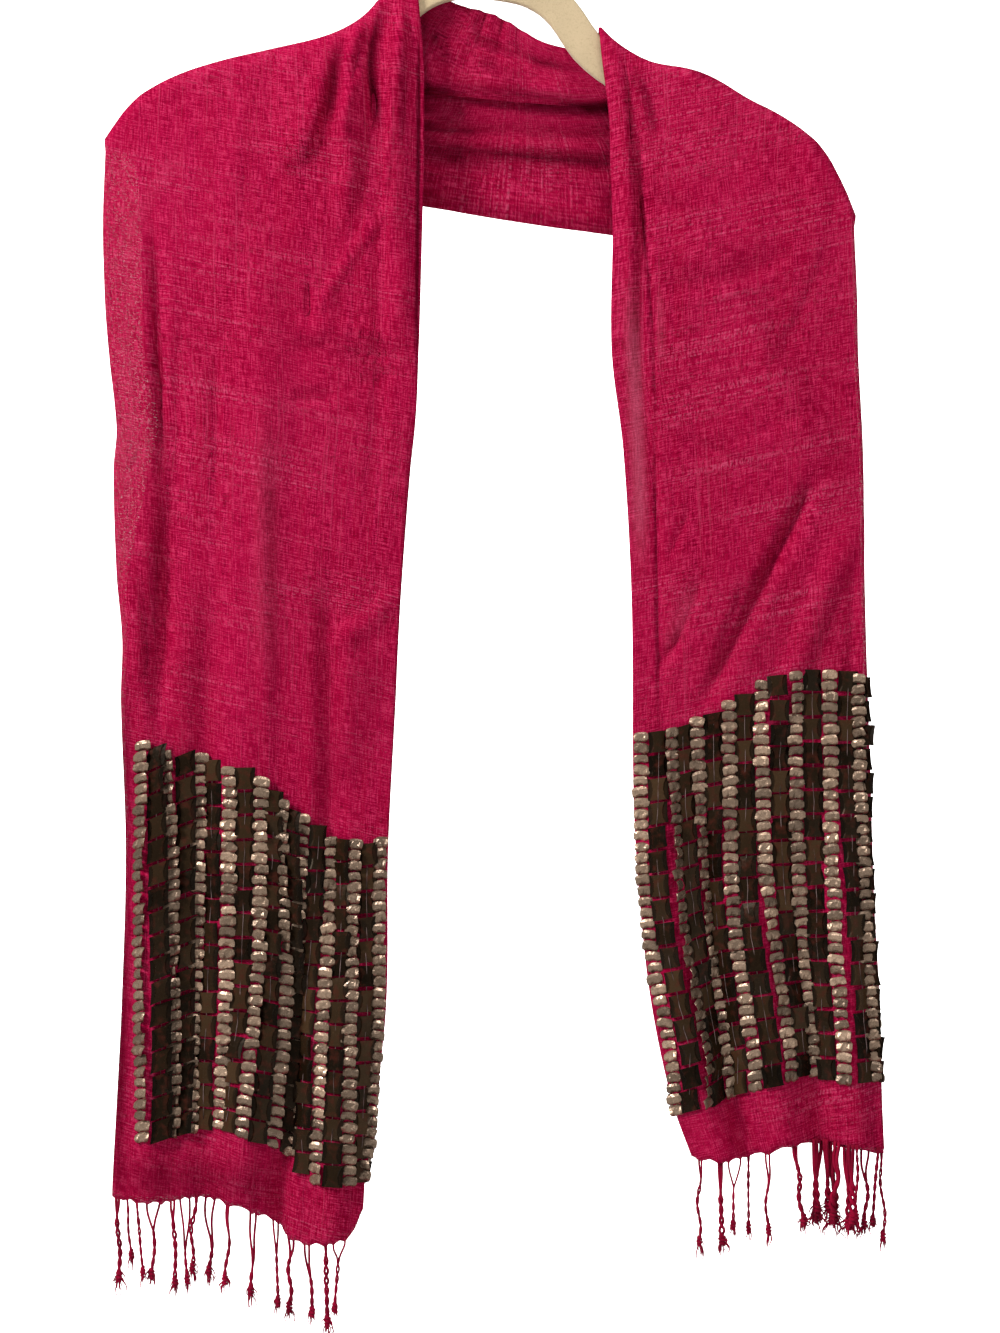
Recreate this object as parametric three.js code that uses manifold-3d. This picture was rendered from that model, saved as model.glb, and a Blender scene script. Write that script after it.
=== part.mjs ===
// A skinny scarf, folded lengthwise into two layers and hung round a flat flocked hanger as it would go round
// a neck: one half falls over each shoulder in front, and the stretch between them crosses behind the hanger.
// Both ends carry a field of sewn sequins and a fringe of knotted warp threads.
//
// Millimetres, +Z up, the front towards -Y. The origin is where the hook rests on a rail. Heights are given
// as `down`, the distance below that point, and `across` runs over the folded width, from 0 at the folded
// inner edge, next to the neck, to 1 at the free outer edges.
import * as THREE from "three";
import { mergeVertices } from "three/addons/utils/BufferGeometryUtils.js";
import Module from "manifold-3d";

const { PI, sin, cos, sqrt, min, max, abs } = Math;
const wasm = await Module();
wasm.setup();

// ---------------------------------------------------------------- driving dimensions

const CLOTH = 1.0; // wall of one layer
const LAYER_PITCH = 2.4; // between the middles of the two layers
const FOLD_NOSE = 2.2; // how far the fold takes to open to the full pitch
const SEAM = 0.3; // between pieces that meet
const TILT = THREE.MathUtils.degToRad(3.9); // the hanger hangs with its right arm lower

const HANGER = { thickness: 6, height: 21, halfSpan: 209, bevel: 1.5, stations: 21 };
const HOOK = { wire: 1.9, inside: 20, stemTop: 54, socket: 12 };
const HOOK_ROUND = { from: -48, to: 205 }; // degrees
const HOOK_MESH = { points: 12, steps: 34, sides: 8 };
const SOCKET_SIDES = 12;

// Upper edge of one arm, `out` from the hanger's middle. The last row is where the cloth rounds the tip.
const ARM_TOP = [
  { out: 0, down: 73 },
  { out: 25, down: 76 },
  { out: 42, down: 83 },
  { out: 55, down: 93.5 },
  { out: 69, down: 111 },
  { out: 82, down: 121 },
  { out: 98, down: 128.5 },
  { out: 125, down: 136.8 },
  { out: 155, down: 146 },
  { out: 180, down: 156 },
  { out: 200, down: 168.5 },
  { out: 209, down: 178.5 },
  { out: 215, down: 188 },
  { out: 221, down: 199 },
  { out: 227, down: 212 },
  { out: 231, down: 222 },
];

const CLEARANCE = 1.2; // between the arm and the layer that lies on it
const MIDDLE_LIFT = CLEARANCE + CLOTH / 2 + LAYER_PITCH / 2; // from the arm to the middle of the two layers
const BEND = HANGER.thickness / 2 + MIDDLE_LIFT; // radius of that middle over the arm
const QUARTER_TURN = (BEND * PI) / 2;
const SPREAD_OVER = 70; // the fall in which a hanging end takes up its own outline
const FOLDS_START = 15; // the fall in which its folds open
const ARM_DROP = 30; // the fall past the arm's lower edge, where the cloth starts to swing free
const SWINGS_OVER = 25; // the further fall after which folds may reach back as well
const BOW = 3; // how far the middle of a hanging end stands in front of its edges
const HEM_LEVEL = 825; // a fold that ends lower than this runs out through the hem
const FADE = 0.25; // the share of a fold's length in which it dies away

// Each hanging end. It covers an arm from `armFrom` to `armTo` and stands off it where it is `loose`. `edges` is
// its outline from the front and `levels` its sequin field and hem. `face` and `under` say how far across the
// two layers reach at their free edges. A fold runs from one height to another while it drifts across; `half`
// is its half width in mm, and a positive `depth` stands forwards. A tassel's two threads leave the hem
// `apart`, meet a share of the way down, and end in a knot `shift` to the side.
const ENDS = {
  left: {
    side: -1,
    armFrom: 43,
    armTo: 222,
    loose: [],
    edges: [
      { down: 190, inner: -44, outer: -237.6 },
      { down: 276, inner: -46.2, outer: -235.2 },
      { down: 312, inner: -47.4, outer: -232.4 },
      { down: 338, inner: -48.4, outer: -229.4 },
      { down: 356, inner: -49.8, outer: -228.2 },
      { down: 378, inner: -52.2, outer: -230 },
      { down: 440, inner: -57, outer: -228.2 },
      { down: 480, inner: -59.4, outer: -224.8 },
      { down: 516, inner: -61, outer: -225.6 },
      { down: 606, inner: -65.5, outer: -222.6 },
      { down: 696, inner: -66.5, outer: -225 },
      { down: 756, inner: -72.6, outer: -228 },
      { down: 804, inner: -79.4, outer: -230.6 },
      { down: 820, inner: -80.4, outer: -231 },
      { down: 840, inner: -82.5, outer: -231 },
    ],
    levels: [
      { across: 0, top: 599, bottom: 803, hem: 822 },
      { across: 0.03, top: 599, bottom: 804, hem: 834 },
      { across: 0.08, top: 600, bottom: 806, hem: 839 },
      { across: 0.25, top: 596, bottom: 805, hem: 840 },
      { across: 0.36, top: 580, bottom: 788, hem: 827 },
      { across: 0.5, top: 560, bottom: 777, hem: 818 },
      { across: 0.65, top: 552, bottom: 774, hem: 813 },
      { across: 0.82, top: 546, bottom: 779, hem: 816 },
      { across: 1, top: 538, bottom: 781, hem: 813 },
    ],
    layers: [
      { down: 150, face: 1, under: 0.98 },
      { down: 198, face: 1, under: 0.95 },
      { down: 228, face: 1, under: 0.89 },
      { down: 300, face: 1, under: 0.88 },
      { down: 338, face: 1, under: 0.89 },
      { down: 378, face: 1, under: 0.857 },
      { down: 406, face: 1, under: 0.88 },
      { down: 439, face: 1, under: 0.935 },
      { down: 463, face: 1, under: 0.98 },
      { down: 820, face: 1, under: 1 },
    ],
    hemShift: -3, // the under layer's hem against the face's, at the free edge
    folds: [
      { from: 98, to: 235, across: 0.19, low: 0.245, half: 11, depth: 7 },
      { from: 98, to: 320, across: 0.07, low: 0.06, half: 14, depth: 6 },
      { from: 112, to: 205, across: 0.36, low: 0.42, half: 18, depth: 4 },
      { from: 190, to: 430, across: 0.13, low: 0.12, half: 9, depth: -1.5 },
      { from: 200, to: 640, across: 0.5, low: 0.55, half: 26, depth: 5 },
      { from: 280, to: 500, across: 0.8, low: 0.82, half: 15, depth: -5 },
      { from: 420, to: 800, across: 0.69, low: 0.72, half: 16, depth: -5 },
      { from: 420, to: 680, across: 0.26, low: 0.2, half: 13, depth: -6 },
      { from: 560, to: 860, across: 0.9, low: 0.86, half: 17, depth: 6 },
      { from: 650, to: 860, across: 0.34, low: 0.32, half: 12, depth: -8 },
      { from: 660, to: 860, across: 0.14, low: 0.12, half: 18, depth: 7 },
      { from: 700, to: 860, across: 0.5, low: 0.48, half: 17, depth: 7 },
      { from: 740, to: 860, across: 0.64, low: 0.62, half: 14, depth: -3 },
    ],
    sequins: { faceMargin: 1, underMargin: 1 },
    tassels: [
      { layer: 1, x: -227.4, apart: 2, meets: 0.25, shift: 0.9, length: 56 },
      { layer: -1, x: -222.6, apart: 0.8, meets: 0.1, shift: 2.4, length: 43 },
      { layer: 1, x: -214.8, apart: 0.8, meets: 0.1, shift: 3.6, length: 49 },
      { layer: -1, x: -205.2, apart: 8, meets: 0.5, shift: -1.2, length: 53 },
      { layer: 1, x: -194.4, apart: 2.4, meets: 0.3, shift: 1.8, length: 58 },
      { layer: -1, x: -187.2, apart: 6, meets: 0.8, shift: 1.4, length: 60 },
      { layer: 1, x: -180.6, apart: 1, meets: 0.1, shift: -3.4, length: 50 },
      { layer: -1, x: -172.2, apart: 5, meets: 0.85, shift: -1.2, length: 54 },
      { layer: 1, x: -160.2, apart: 1.2, meets: 0.55, shift: -0.6, length: 52 },
      { layer: -1, x: -145.2, apart: 3.2, meets: 0.9, shift: -1, length: 57 },
      { layer: 1, x: -133.8, apart: 3, meets: 0.5, shift: 1.4, length: 57 },
      { layer: -1, x: -124.8, apart: 3.6, meets: 0.4, shift: -0.8, length: 52 },
      { layer: 1, x: -113.4, apart: 3, meets: 0.6, shift: 3.4, length: 47 },
      { layer: -1, x: -102.6, apart: 0.8, meets: 0.1, shift: 1, length: 54 },
      { layer: 1, x: -94.8, apart: 6.6, meets: 0.3, shift: -2.6, length: 46 },
    ],
  },
  right: {
    side: 1,
    armFrom: 69,
    armTo: 229,
    loose: [{ out: 132, half: 36, lift: 5 }],
    edges: [
      { down: 190, inner: 68, outer: 209 },
      { down: 230, inner: 69.6, outer: 214.5 },
      { down: 306, inner: 69, outer: 216.6 },
      { down: 366, inner: 76, outer: 219.5 },
      { down: 456, inner: 81, outer: 220.8 },
      { down: 576, inner: 82.2, outer: 224.4 },
      { down: 636, inner: 85.8, outer: 226.2 },
      { down: 696, inner: 92.5, outer: 229.5 },
      { down: 756, inner: 105, outer: 231 },
      { down: 790, inner: 117, outer: 232.5 },
    ],
    levels: [
      { across: 0, top: 537, bottom: 766, hem: 790 },
      { across: 0.16, top: 532, bottom: 760, hem: 791 },
      { across: 0.36, top: 520, bottom: 752, hem: 787 },
      { across: 0.5, top: 508, bottom: 746, hem: 782 },
      { across: 0.63, top: 499, bottom: 742, hem: 779 },
      { across: 0.83, top: 497, bottom: 746, hem: 781 },
      { across: 1, top: 501, bottom: 745, hem: 784 },
    ],
    layers: [
      { down: 150, face: 1, under: 0.985 },
      { down: 500, face: 1, under: 0.985 },
      { down: 800, face: 1, under: 1 },
    ],
    hemShift: 3,
    folds: [
      { from: 90, to: 340, across: 0.05, low: 0.07, half: 10, depth: 4 },
      { from: 150, to: 600, across: 0.1, low: 0.13, half: 6, depth: -1.5 },
      { from: 128, to: 190, across: 0.4, low: 0.44, half: 9, depth: -5 },
      { from: 220, to: 400, across: 0.3, low: 0.92, half: 24, depth: 4 },
      { from: 372, to: 530, across: 0.84, low: 0.26, half: 11, depth: -6 },
      { from: 400, to: 560, across: 0.98, low: 0.5, half: 14, depth: 4 },
      { from: 440, to: 500, across: 0.3, low: 0.12, half: 8, depth: -4 },
      { from: 540, to: 830, across: 0.12, low: 0.14, half: 15, depth: 6 },
      { from: 560, to: 830, across: 0.3, low: 0.3, half: 12, depth: -7 },
      { from: 600, to: 830, across: 0.5, low: 0.5, half: 16, depth: 6 },
      { from: 620, to: 830, across: 0.68, low: 0.7, half: 13, depth: -6 },
      { from: 560, to: 830, across: 0.87, low: 0.86, half: 15, depth: 6 },
    ],
    sequins: { faceMargin: 0, underMargin: 1 },
    tassels: [
      { layer: 1, x: 122.4, apart: 1.6, meets: 0.3, shift: -1, length: 58 },
      { layer: -1, x: 133.5, apart: 2, meets: 0.5, shift: 1, length: 54 },
      { layer: 1, x: 141.6, apart: 7.4, meets: 0.5, shift: -1, length: 46 },
      { layer: -1, x: 151.4, apart: 0.8, meets: 0.1, shift: 0, length: 51 },
      { layer: 1, x: 162.6, apart: 2, meets: 0.6, shift: 0, length: 55 },
      { layer: -1, x: 178.6, apart: 2, meets: 0.3, shift: 5, length: 52 },
      { layer: 1, x: 190, apart: 2, meets: 0.7, shift: 1, length: 50 },
      { layer: -1, x: 194, apart: 2.4, meets: 0.6, shift: -2, length: 53 },
      { layer: 1, x: 197.6, apart: 2, meets: 0.8, shift: 2, length: 48 },
      { layer: -1, x: 201, apart: 2.4, meets: 0.7, shift: 1, length: 54 },
      { layer: 1, x: 204.8, apart: 2, meets: 0.8, shift: -2, length: 51 },
      { layer: -1, x: 208.4, apart: 2.4, meets: 0.7, shift: 2, length: 55 },
      { layer: 1, x: 212, apart: 2, meets: 0.6, shift: 1, length: 52 },
      { layer: 1, x: 215, apart: 1, meets: 0.1, shift: 0, length: 50 },
      { layer: -1, x: 220.8, apart: 5, meets: 0.5, shift: 0.6, length: 52 },
      { layer: 1, x: 228, apart: 1.4, meets: 0.1, shift: -3.4, length: 52 },
      { layer: -1, x: 231, apart: 0.8, meets: 0.1, shift: 1, length: 60 },
    ],
  },
};

// The stretch behind the hanger: how far it sags below a straight line from arm to arm, and its long folds,
// which open between two shares of the way from an arm. `pleat` is the one fold that laps over itself: `rise`
// up and down, `step` from its front to its back. `gathers` are the small waves of the crumpled upper edge,
// which is pushed up by `lift`.
const NECK = {
  sag: [
    { across: 0, sag: 16.5, lean: 0.65 },
    { across: 0.5, sag: 23.7, lean: -0.55 },
    { across: 1, sag: 20, lean: 1 },
  ],
  opens: { from: 0.1, to: 0.36 },
  pleat: { across: 0.29, half: 0.17, rise: 12, step: 9, lap: 0.55 },
  folds: [
    { across: 0.12, half: 0.14, depth: 4 },
    { across: 0.66, half: 0.12, depth: 5 },
    { across: 0.85, half: 0.14, depth: -4 },
  ],
  gathers: { across: 0.2, along: 0.47, half: 0.16, waves: 6, depth: 2.5, lift: 5 },
  billow: 7,
};

const END_COLUMNS = 18; // of one layer; a rib of sequins stands on every second one
const NECK_COLUMNS = 13;
const NOSE_ANGLES = [PI / 4, 0];
const TURN_ROWS = [0, 0.5, 1]; // of the quarter turn over an arm
const FALL_ROWS = [0, 0.05, 0.11, 0.2, 0.34, 0.55, 0.78, 1]; // from the arm's drop to the sequin field
const FIELD_ROWS = 6;
const HEM_ROWS = 2;
const BACK_TURN = 0.05; // the share of the neck stretch that turns over each arm
const NECK_ROWS = [0.025, 0.05, 0.1, 0.16, 0.22, 0.28, 0.33, 0.38, 0.44, 0.5]; // to the middle

const SEQUIN_BED = 1.1; // the thread and the flat of the sequins
const SEQUIN_RIB = 1.5; // how much further a column of standing flakes reaches

// The strip below a hem and how deep the threads root in it, the radii of a thread, a knot and its tip, the
// knot's length, and how far the two threads of a tassel run beside its middle.
const FRINGE = { strip: 2.6, root: 1.6, thread: 0.8, knot: 2.1, tip: 0.6, knotLength: 8, beside: 0.55 };

const NOMINAL_WIDTH = 190; // of the folded cloth
const STEPS = { out: 1, across: 0.004, fall: 0.05, along: 0.0005 }; // over which slopes are taken

// ---------------------------------------------------------------- small tools

const lerp = (a, b, t) => a + (b - a) * t;
const ease = (a, b, x) => {
  const t = min(1, max(0, (x - a) / (b - a)));
  return t * t * (3 - 2 * t);
};
const bump = (x) => (abs(x) < 1 ? cos((x * PI) / 2) ** 2 : 0);

// A column of a table at x, on a smooth curve through its rows, which are in rising order of `by`.
function read(table, by, column, x) {
  const last = table.length - 1;
  if (x <= table[0][by]) return table[0][column];
  if (x >= table[last][by]) return table[last][column];
  let i = 0;
  while (x > table[i + 1][by]) i++;
  const slope = (k) => {
    const a = table[max(k - 1, 0)];
    const b = table[min(k + 1, last)];
    return (b[column] - a[column]) / (b[by] - a[by]);
  };
  const span = table[i + 1][by] - table[i][by];
  const t = (x - table[i][by]) / span;
  const start = table[i][column];
  const end = table[i + 1][column];
  const leave = slope(i) * span;
  const arrive = slope(i + 1) * span;
  const rise = end - start;
  return start + t * (leave + t * (3 * rise - 2 * leave - arrive + t * (leave + arrive - 2 * rise)));
}

// ---------------------------------------------------------------- the cloth's middle surface

// How steeply an arm's upper edge goes down.
function armSlope(out) {
  const level = (at) => read(ARM_TOP, "out", "down", abs(at));
  return (level(out + STEPS.out) - level(out - STEPS.out)) / (2 * STEPS.out);
}

// The highest point of the middle surface over an arm.
function ridge(end, across) {
  const out = lerp(end.armFrom, end.armTo, across);
  const slope = armSlope(out);
  const x = end.side * out;
  let z = -read(ARM_TOP, "out", "down", out) + MIDDLE_LIFT * sqrt(1 + slope * slope);
  for (const { out: centre, half, lift } of end.loose) z += lift * bump((out - centre) / half);
  return { x: x * cos(TILT) + z * sin(TILT), z: z * cos(TILT) - x * sin(TILT) };
}

function foldDepth(end, across, down) {
  let depth = 0;
  for (const fold of end.folds) {
    const along = (down - fold.from) / (fold.to - fold.from);
    if (along <= 0 || along >= 1) continue;
    const width = abs(read(end.edges, "down", "outer", down) - read(end.edges, "down", "inner", down));
    const centre = lerp(fold.across, fold.low, along);
    const fade = ease(0, FADE, along) * (fold.to > HEM_LEVEL ? 1 : ease(0, FADE, 1 - along));
    depth += fold.depth * fade * bump(((across - centre) * width) / fold.half);
  }
  return depth;
}

// A point of an end's middle surface, `fallen` from the top of the arm.
function endPoint(end, across, fallen) {
  const top = ridge(end, across);
  const angle = min(fallen, QUARTER_TURN) / BEND;
  const z = top.z - BEND * (1 - cos(angle)) - max(0, fallen - QUARTER_TURN);
  const settled = ease(0, SPREAD_OVER, fallen);
  const inner = read(end.edges, "down", "inner", -z);
  const outer = read(end.edges, "down", "outer", -z);
  const x = lerp(top.x, lerp(inner, outer, across), settled);
  const drop = QUARTER_TURN + ARM_DROP;
  const belowArm = ease(drop, drop + SWINGS_OVER, fallen);
  const depth = foldDepth(end, across, -z) * ease(0, FOLDS_START, fallen);
  const bow = BOW * sin(PI * min(1, across)) * settled;
  const y = -BEND * sin(angle) - bow - (depth < 0 ? depth * belowArm : depth);
  return new THREE.Vector3(x, y, z);
}

// The fall that brings a column of an end to a given height.
const fallTo = (end, across, down) => QUARTER_TURN - BEND + down + ridge(end, across).z;

// A point of the stretch behind the hanger, from 0 on the left arm to 1 on the right one.
function neckPoint(across, along) {
  const from = ridge(ENDS.left, across);
  const to = ridge(ENDS.right, across);
  const fromArm = min(along, 1 - along);
  const angle = (PI / 2) * min(1, fromArm / BACK_TURN);
  const turn = PI * min(1, max(0, (along - BACK_TURN) / (1 - 2 * BACK_TURN)));
  const crossed = (1 - cos(turn)) / 2;
  const x = lerp(from.x, to.x, crossed);
  const lean = read(NECK.sag, "across", "lean", across) * (2 * crossed - 1);
  const sag = (read(NECK.sag, "across", "sag", across) - BEND) * sin(turn) * (1 + lean);
  const { opens, pleat, gathers } = NECK;
  const middle = ease(opens.from, opens.to, fromArm);
  const level = lerp(from.z, to.z, crossed) - sag - BEND * (1 - cos(angle));
  const lap = (across - pleat.across) / pleat.half;
  const inPleat = abs(lap) < 1 ? sin(PI * lap) * (1 - lap * lap) : 0;
  let y = middle * (pleat.step * ease(-pleat.lap, pleat.lap, lap) + NECK.billow * across * sin(turn));
  for (const fold of NECK.folds) y += middle * fold.depth * bump((across - fold.across) / fold.half);
  const wave = (along - gathers.along) / gathers.half;
  const gathered = bump(across / gathers.across) * bump(wave);
  y += gathers.depth * gathered * (1 + sin(PI * gathers.waves * wave));
  const raised = middle * pleat.rise * inPleat + gathers.lift * gathered;
  return new THREE.Vector3(x, BEND * sin(angle) + max(0, y), level + raised);
}

// ---------------------------------------------------------------- two layers round a fold

// Columns from the face layer's free edge, round the fold at the inner edge, to the under layer's free edge.
function foldedColumns(count) {
  const open = (angle) => ({ across: (FOLD_NOSE / NOMINAL_WIDTH) * (1 - cos(angle)), gap: sin(angle) });
  const flat = [];
  for (let k = count - 1; k >= 0; k--) {
    const share = k / (count - 1);
    flat.push({ across: lerp(open(PI / 2).across, 1, share), gap: 1, free: share });
  }
  const nose = NOSE_ANGLES.map((angle) => ({ ...open(angle), free: 0 }));
  const face = [...flat, ...nose].map((c) => ({ ...c, layer: 1 }));
  const under = [...flat, ...nose.slice(0, -1)].reverse().map((c) => ({ ...c, layer: -1 }));
  return [...face, ...under];
}
const COLUMNS = foldedColumns(END_COLUMNS);

// A point of one layer: the middle surface, moved along its own normal by half the gap.
function layered(surface, column, across, along, stepAlong, outwards) {
  const here = surface(across, along);
  const sideways = surface(across + STEPS.across, along).sub(surface(across - STEPS.across, along));
  const onwards = surface(across, along + stepAlong).sub(surface(across, along - stepAlong));
  const normal = sideways.cross(onwards).normalize().multiplyScalar(outwards);
  return here.addScaledVector(normal, (column.layer * column.gap * LAYER_PITCH) / 2);
}

function endCloth(end) {
  const surface = (across, fallen) => endPoint(end, across, fallen);
  const rowsOf = (column) => {
    const { across } = column;
    const level = (name) => fallTo(end, across, read(end.levels, "across", name, across));
    const shift = column.layer < 0 ? end.hemShift * column.free : 0;
    const stops = [level("top"), level("bottom") + shift / 2, level("hem") + shift];
    const rows = TURN_ROWS.map((share) => max(SEAM / 2, share * QUARTER_TURN));
    rows.unshift(-rows[1]);
    for (const share of FALL_ROWS) rows.push(lerp(QUARTER_TURN + ARM_DROP, stops[0], share));
    for (let k = 1; k <= FIELD_ROWS; k++) rows.push(lerp(stops[0], stops[1], k / FIELD_ROWS));
    for (let k = 1; k <= HEM_ROWS; k++) rows.push(lerp(stops[1], stops[2], k / HEM_ROWS));
    return rows;
  };
  const byColumn = COLUMNS.map((column) => {
    const edge = column.layer > 0 ? "face" : "under";
    return rowsOf(column).map((fallen) => {
      const down = -endPoint(end, column.across, fallen).z;
      const reach = read(end.layers, "down", edge, down);
      const across = column.across * lerp(1, reach, column.free);
      return layered(surface, column, across, fallen, STEPS.fall, -end.side);
    });
  });
  const grid = byColumn[0].map((_, j) => byColumn.map((points) => points[j]));
  return withNormals(grid, end.side, 1, 0);
}

function neckCloth() {
  const seam = (BACK_TURN * SEAM) / (2 * QUARTER_TURN);
  const half = [-NECK_ROWS[0], seam, ...NECK_ROWS];
  const rows = [...half, ...half.slice(0, -1).map((row) => 1 - row).reverse()];
  const columns = foldedColumns(NECK_COLUMNS);
  const grid = rows.map((along) =>
    columns.map((column) => layered(neckPoint, column, column.across, along, STEPS.along, -1)),
  );
  return withNormals(grid, 1, 1, 1);
}

// ---------------------------------------------------------------- walls from grids of points

// A grid and its unit normals, which point away from the fold's inside. The first and last rows can be spare
// ones, there only to set the direction of their neighbours.
function withNormals(grid, outwards, spareFirst, spareLast) {
  const at = (j, i) => grid[min(grid.length - 1, max(0, j))][min(grid[0].length - 1, max(0, i))];
  const normals = grid.map((row, j) =>
    row.map((_, i) => {
      const sideways = at(j, i + 1).clone().sub(at(j, i - 1));
      const onwards = at(j + 1, i).clone().sub(at(j - 1, i));
      return sideways.cross(onwards).normalize().multiplyScalar(outwards);
    }),
  );
  const kept = (table) => table.slice(spareFirst, table.length - spareLast);
  return { grid: kept(grid), normals: kept(normals) };
}

// The closed wall between two offsets of a grid; each offset is a number, or a function of row and column.
function wall({ grid, normals }, low, high) {
  const rows = grid.length;
  const columns = grid[0].length;
  const positions = [];
  for (const offset of [low, high]) {
    grid.forEach((row, j) =>
      row.forEach((point, i) => {
        const by = typeof offset === "function" ? offset(j, i) : offset;
        positions.push(...point.clone().addScaledVector(normals[j][i], by).toArray());
      }),
    );
  }
  const id = (layer, j, i) => layer * rows * columns + j * columns + i;
  const faces = [];
  const quad = (a, b, c, d) => faces.push(a, b, c, a, c, d);
  for (let j = 0; j < rows - 1; j++) {
    for (let i = 0; i < columns - 1; i++) {
      quad(id(0, j, i), id(0, j, i + 1), id(0, j + 1, i + 1), id(0, j + 1, i));
      quad(id(1, j, i), id(1, j + 1, i), id(1, j + 1, i + 1), id(1, j, i + 1));
    }
    quad(id(0, j, 0), id(0, j + 1, 0), id(1, j + 1, 0), id(1, j, 0));
    quad(id(1, j, columns - 1), id(1, j + 1, columns - 1), id(0, j + 1, columns - 1), id(0, j, columns - 1));
  }
  for (let i = 0; i < columns - 1; i++) {
    quad(id(0, 0, i + 1), id(0, 0, i), id(1, 0, i), id(1, 0, i + 1));
    quad(id(0, rows - 1, i), id(0, rows - 1, i + 1), id(1, rows - 1, i + 1), id(1, rows - 1, i));
  }
  const geometry = new THREE.BufferGeometry();
  geometry.setAttribute("position", new THREE.Float32BufferAttribute(positions, 3));
  geometry.setIndex(signedVolume(positions, faces) < 0 ? faces.reverse() : faces);
  return geometry;
}

function signedVolume(positions, faces) {
  const [a, b, c] = [0, 1, 2].map(() => new THREE.Vector3());
  let volume = 0;
  for (let k = 0; k < faces.length; k += 3) {
    a.fromArray(positions, faces[k] * 3);
    b.fromArray(positions, faces[k + 1] * 3);
    c.fromArray(positions, faces[k + 2] * 3);
    volume += a.dot(b.cross(c)) / 6;
  }
  return volume;
}

// ---------------------------------------------------------------- what lies on the cloth

// One sheet of sequins round the fold, with a rib for every second column of them.
function sequinField(end, cloth) {
  const { faceMargin, underMargin } = end.sequins;
  const columns = [faceMargin, COLUMNS.length - underMargin];
  const first = TURN_ROWS.length + FALL_ROWS.length - 1;
  const rows = [first, first + FIELD_ROWS + 1];
  const cut = (table) => table.slice(...rows).map((row) => row.slice(...columns));
  const low = CLOTH / 2 + SEAM;
  const rib = (j, i) => low + SEQUIN_BED + (i % 2 ? 0 : SEQUIN_RIB);
  return wall({ grid: cut(cloth.grid), normals: cut(cloth.normals) }, low, rib);
}

const solidOf = (geometry) => {
  const bare = geometry.clone().deleteAttribute("normal").deleteAttribute("uv");
  const merged = mergeVertices(bare, 1e-4);
  const vertProperties = merged.attributes.position.array;
  const triVerts = new Uint32Array(merged.index.array);
  return new wasm.Manifold(new wasm.Mesh({ numProp: 3, vertProperties, triVerts }));
};

const geometryOf = (solid) => {
  const mesh = solid.getMesh();
  const geometry = new THREE.BufferGeometry();
  geometry.setAttribute("position", new THREE.BufferAttribute(mesh.vertProperties, 3));
  geometry.setIndex(new THREE.BufferAttribute(mesh.triVerts, 1));
  return geometry;
};

// A three-sided strand through a line of centres, each with its own radius.
function strand(centres) {
  const sides = 3;
  const positions = [];
  for (const { x, y, z, radius } of centres) {
    for (let k = 0; k < sides; k++) {
      const angle = (2 * PI * k) / sides;
      positions.push(x + radius * cos(angle), y + radius * sin(angle), z);
    }
  }
  const faces = [];
  for (let j = 0; j < centres.length - 1; j++) {
    for (let k = 0; k < sides; k++) {
      const [a, b] = [j * sides + k, j * sides + ((k + 1) % sides)];
      faces.push(a, a + sides, b, b, a + sides, b + sides);
    }
  }
  const last = (centres.length - 1) * sides;
  faces.push(0, 1, 2, last, last + 2, last + 1);
  const geometry = new THREE.BufferGeometry();
  geometry.setAttribute("position", new THREE.Float32BufferAttribute(positions, 3));
  geometry.setIndex(signedVolume(positions, faces) < 0 ? faces.reverse() : faces);
  return solidOf(geometry);
}

// The place on one layer of a hem that has a given x.
function placeAt(hem, layer, x) {
  const row = layer > 0 ? hem.slice(0, END_COLUMNS) : hem.slice(-END_COLUMNS);
  const across = row.toSorted((a, b) => a.x - b.x);
  const i = min(across.length - 2, max(0, across.findIndex((point) => point.x > x) - 1));
  const share = (x - across[i].x) / (across[i + 1].x - across[i].x);
  return across[i].clone().lerp(across[i + 1], min(1, max(0, share)));
}

// A tassel: two threads from the hem that meet, run on side by side and end in one knot.
function tassel(hem, { layer, x, apart, meets, shift, length }) {
  const { root, thread: radius, knot, tip, knotLength, beside } = FRINGE;
  const roots = [-1, 1].map((side) => placeAt(hem, layer, x + (side * apart) / 2));
  const middle = roots[0].clone().lerp(roots[1], 0.5);
  const at = (along, aside) => {
    const drift = (shift * along) / length;
    return { x: middle.x + drift + aside, y: middle.y, z: middle.z - along };
  };
  const top = length - knotLength;
  const strands = roots.map((from, k) => {
    const aside = k ? beside : -beside;
    const above = { x: from.x, y: from.y, z: from.z + root, radius };
    return strand([above, { ...at(meets * top, aside), radius }, { ...at(top + 1, aside), radius }]);
  });
  const bulge = [
    { ...at(top - 1, 0), radius },
    { ...at(top + knotLength / 3, 0), radius: knot },
    { ...at(length, 0), radius: tip },
  ];
  return [...strands, strand(bulge)];
}

// A narrow strip below the hem, parted from it by the seam, with the tassels of both layers hanging from it.
function fringe(end, cloth) {
  const hem = cloth.grid.at(-1);
  const lowered = (by) => hem.map((point) => point.clone().setZ(point.z - by));
  const strip = [lowered(2 * SEAM), lowered(2 * SEAM + FRINGE.strip)];
  const normals = [cloth.normals.at(-1), cloth.normals.at(-1)];
  let solid = solidOf(wall({ grid: strip, normals }, -CLOTH / 2, CLOTH / 2));
  for (const row of end.tassels) {
    for (const part of tassel(strip[1], row)) solid = solid.add(part);
  }
  return geometryOf(solid);
}

// ---------------------------------------------------------------- the hanger

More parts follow.
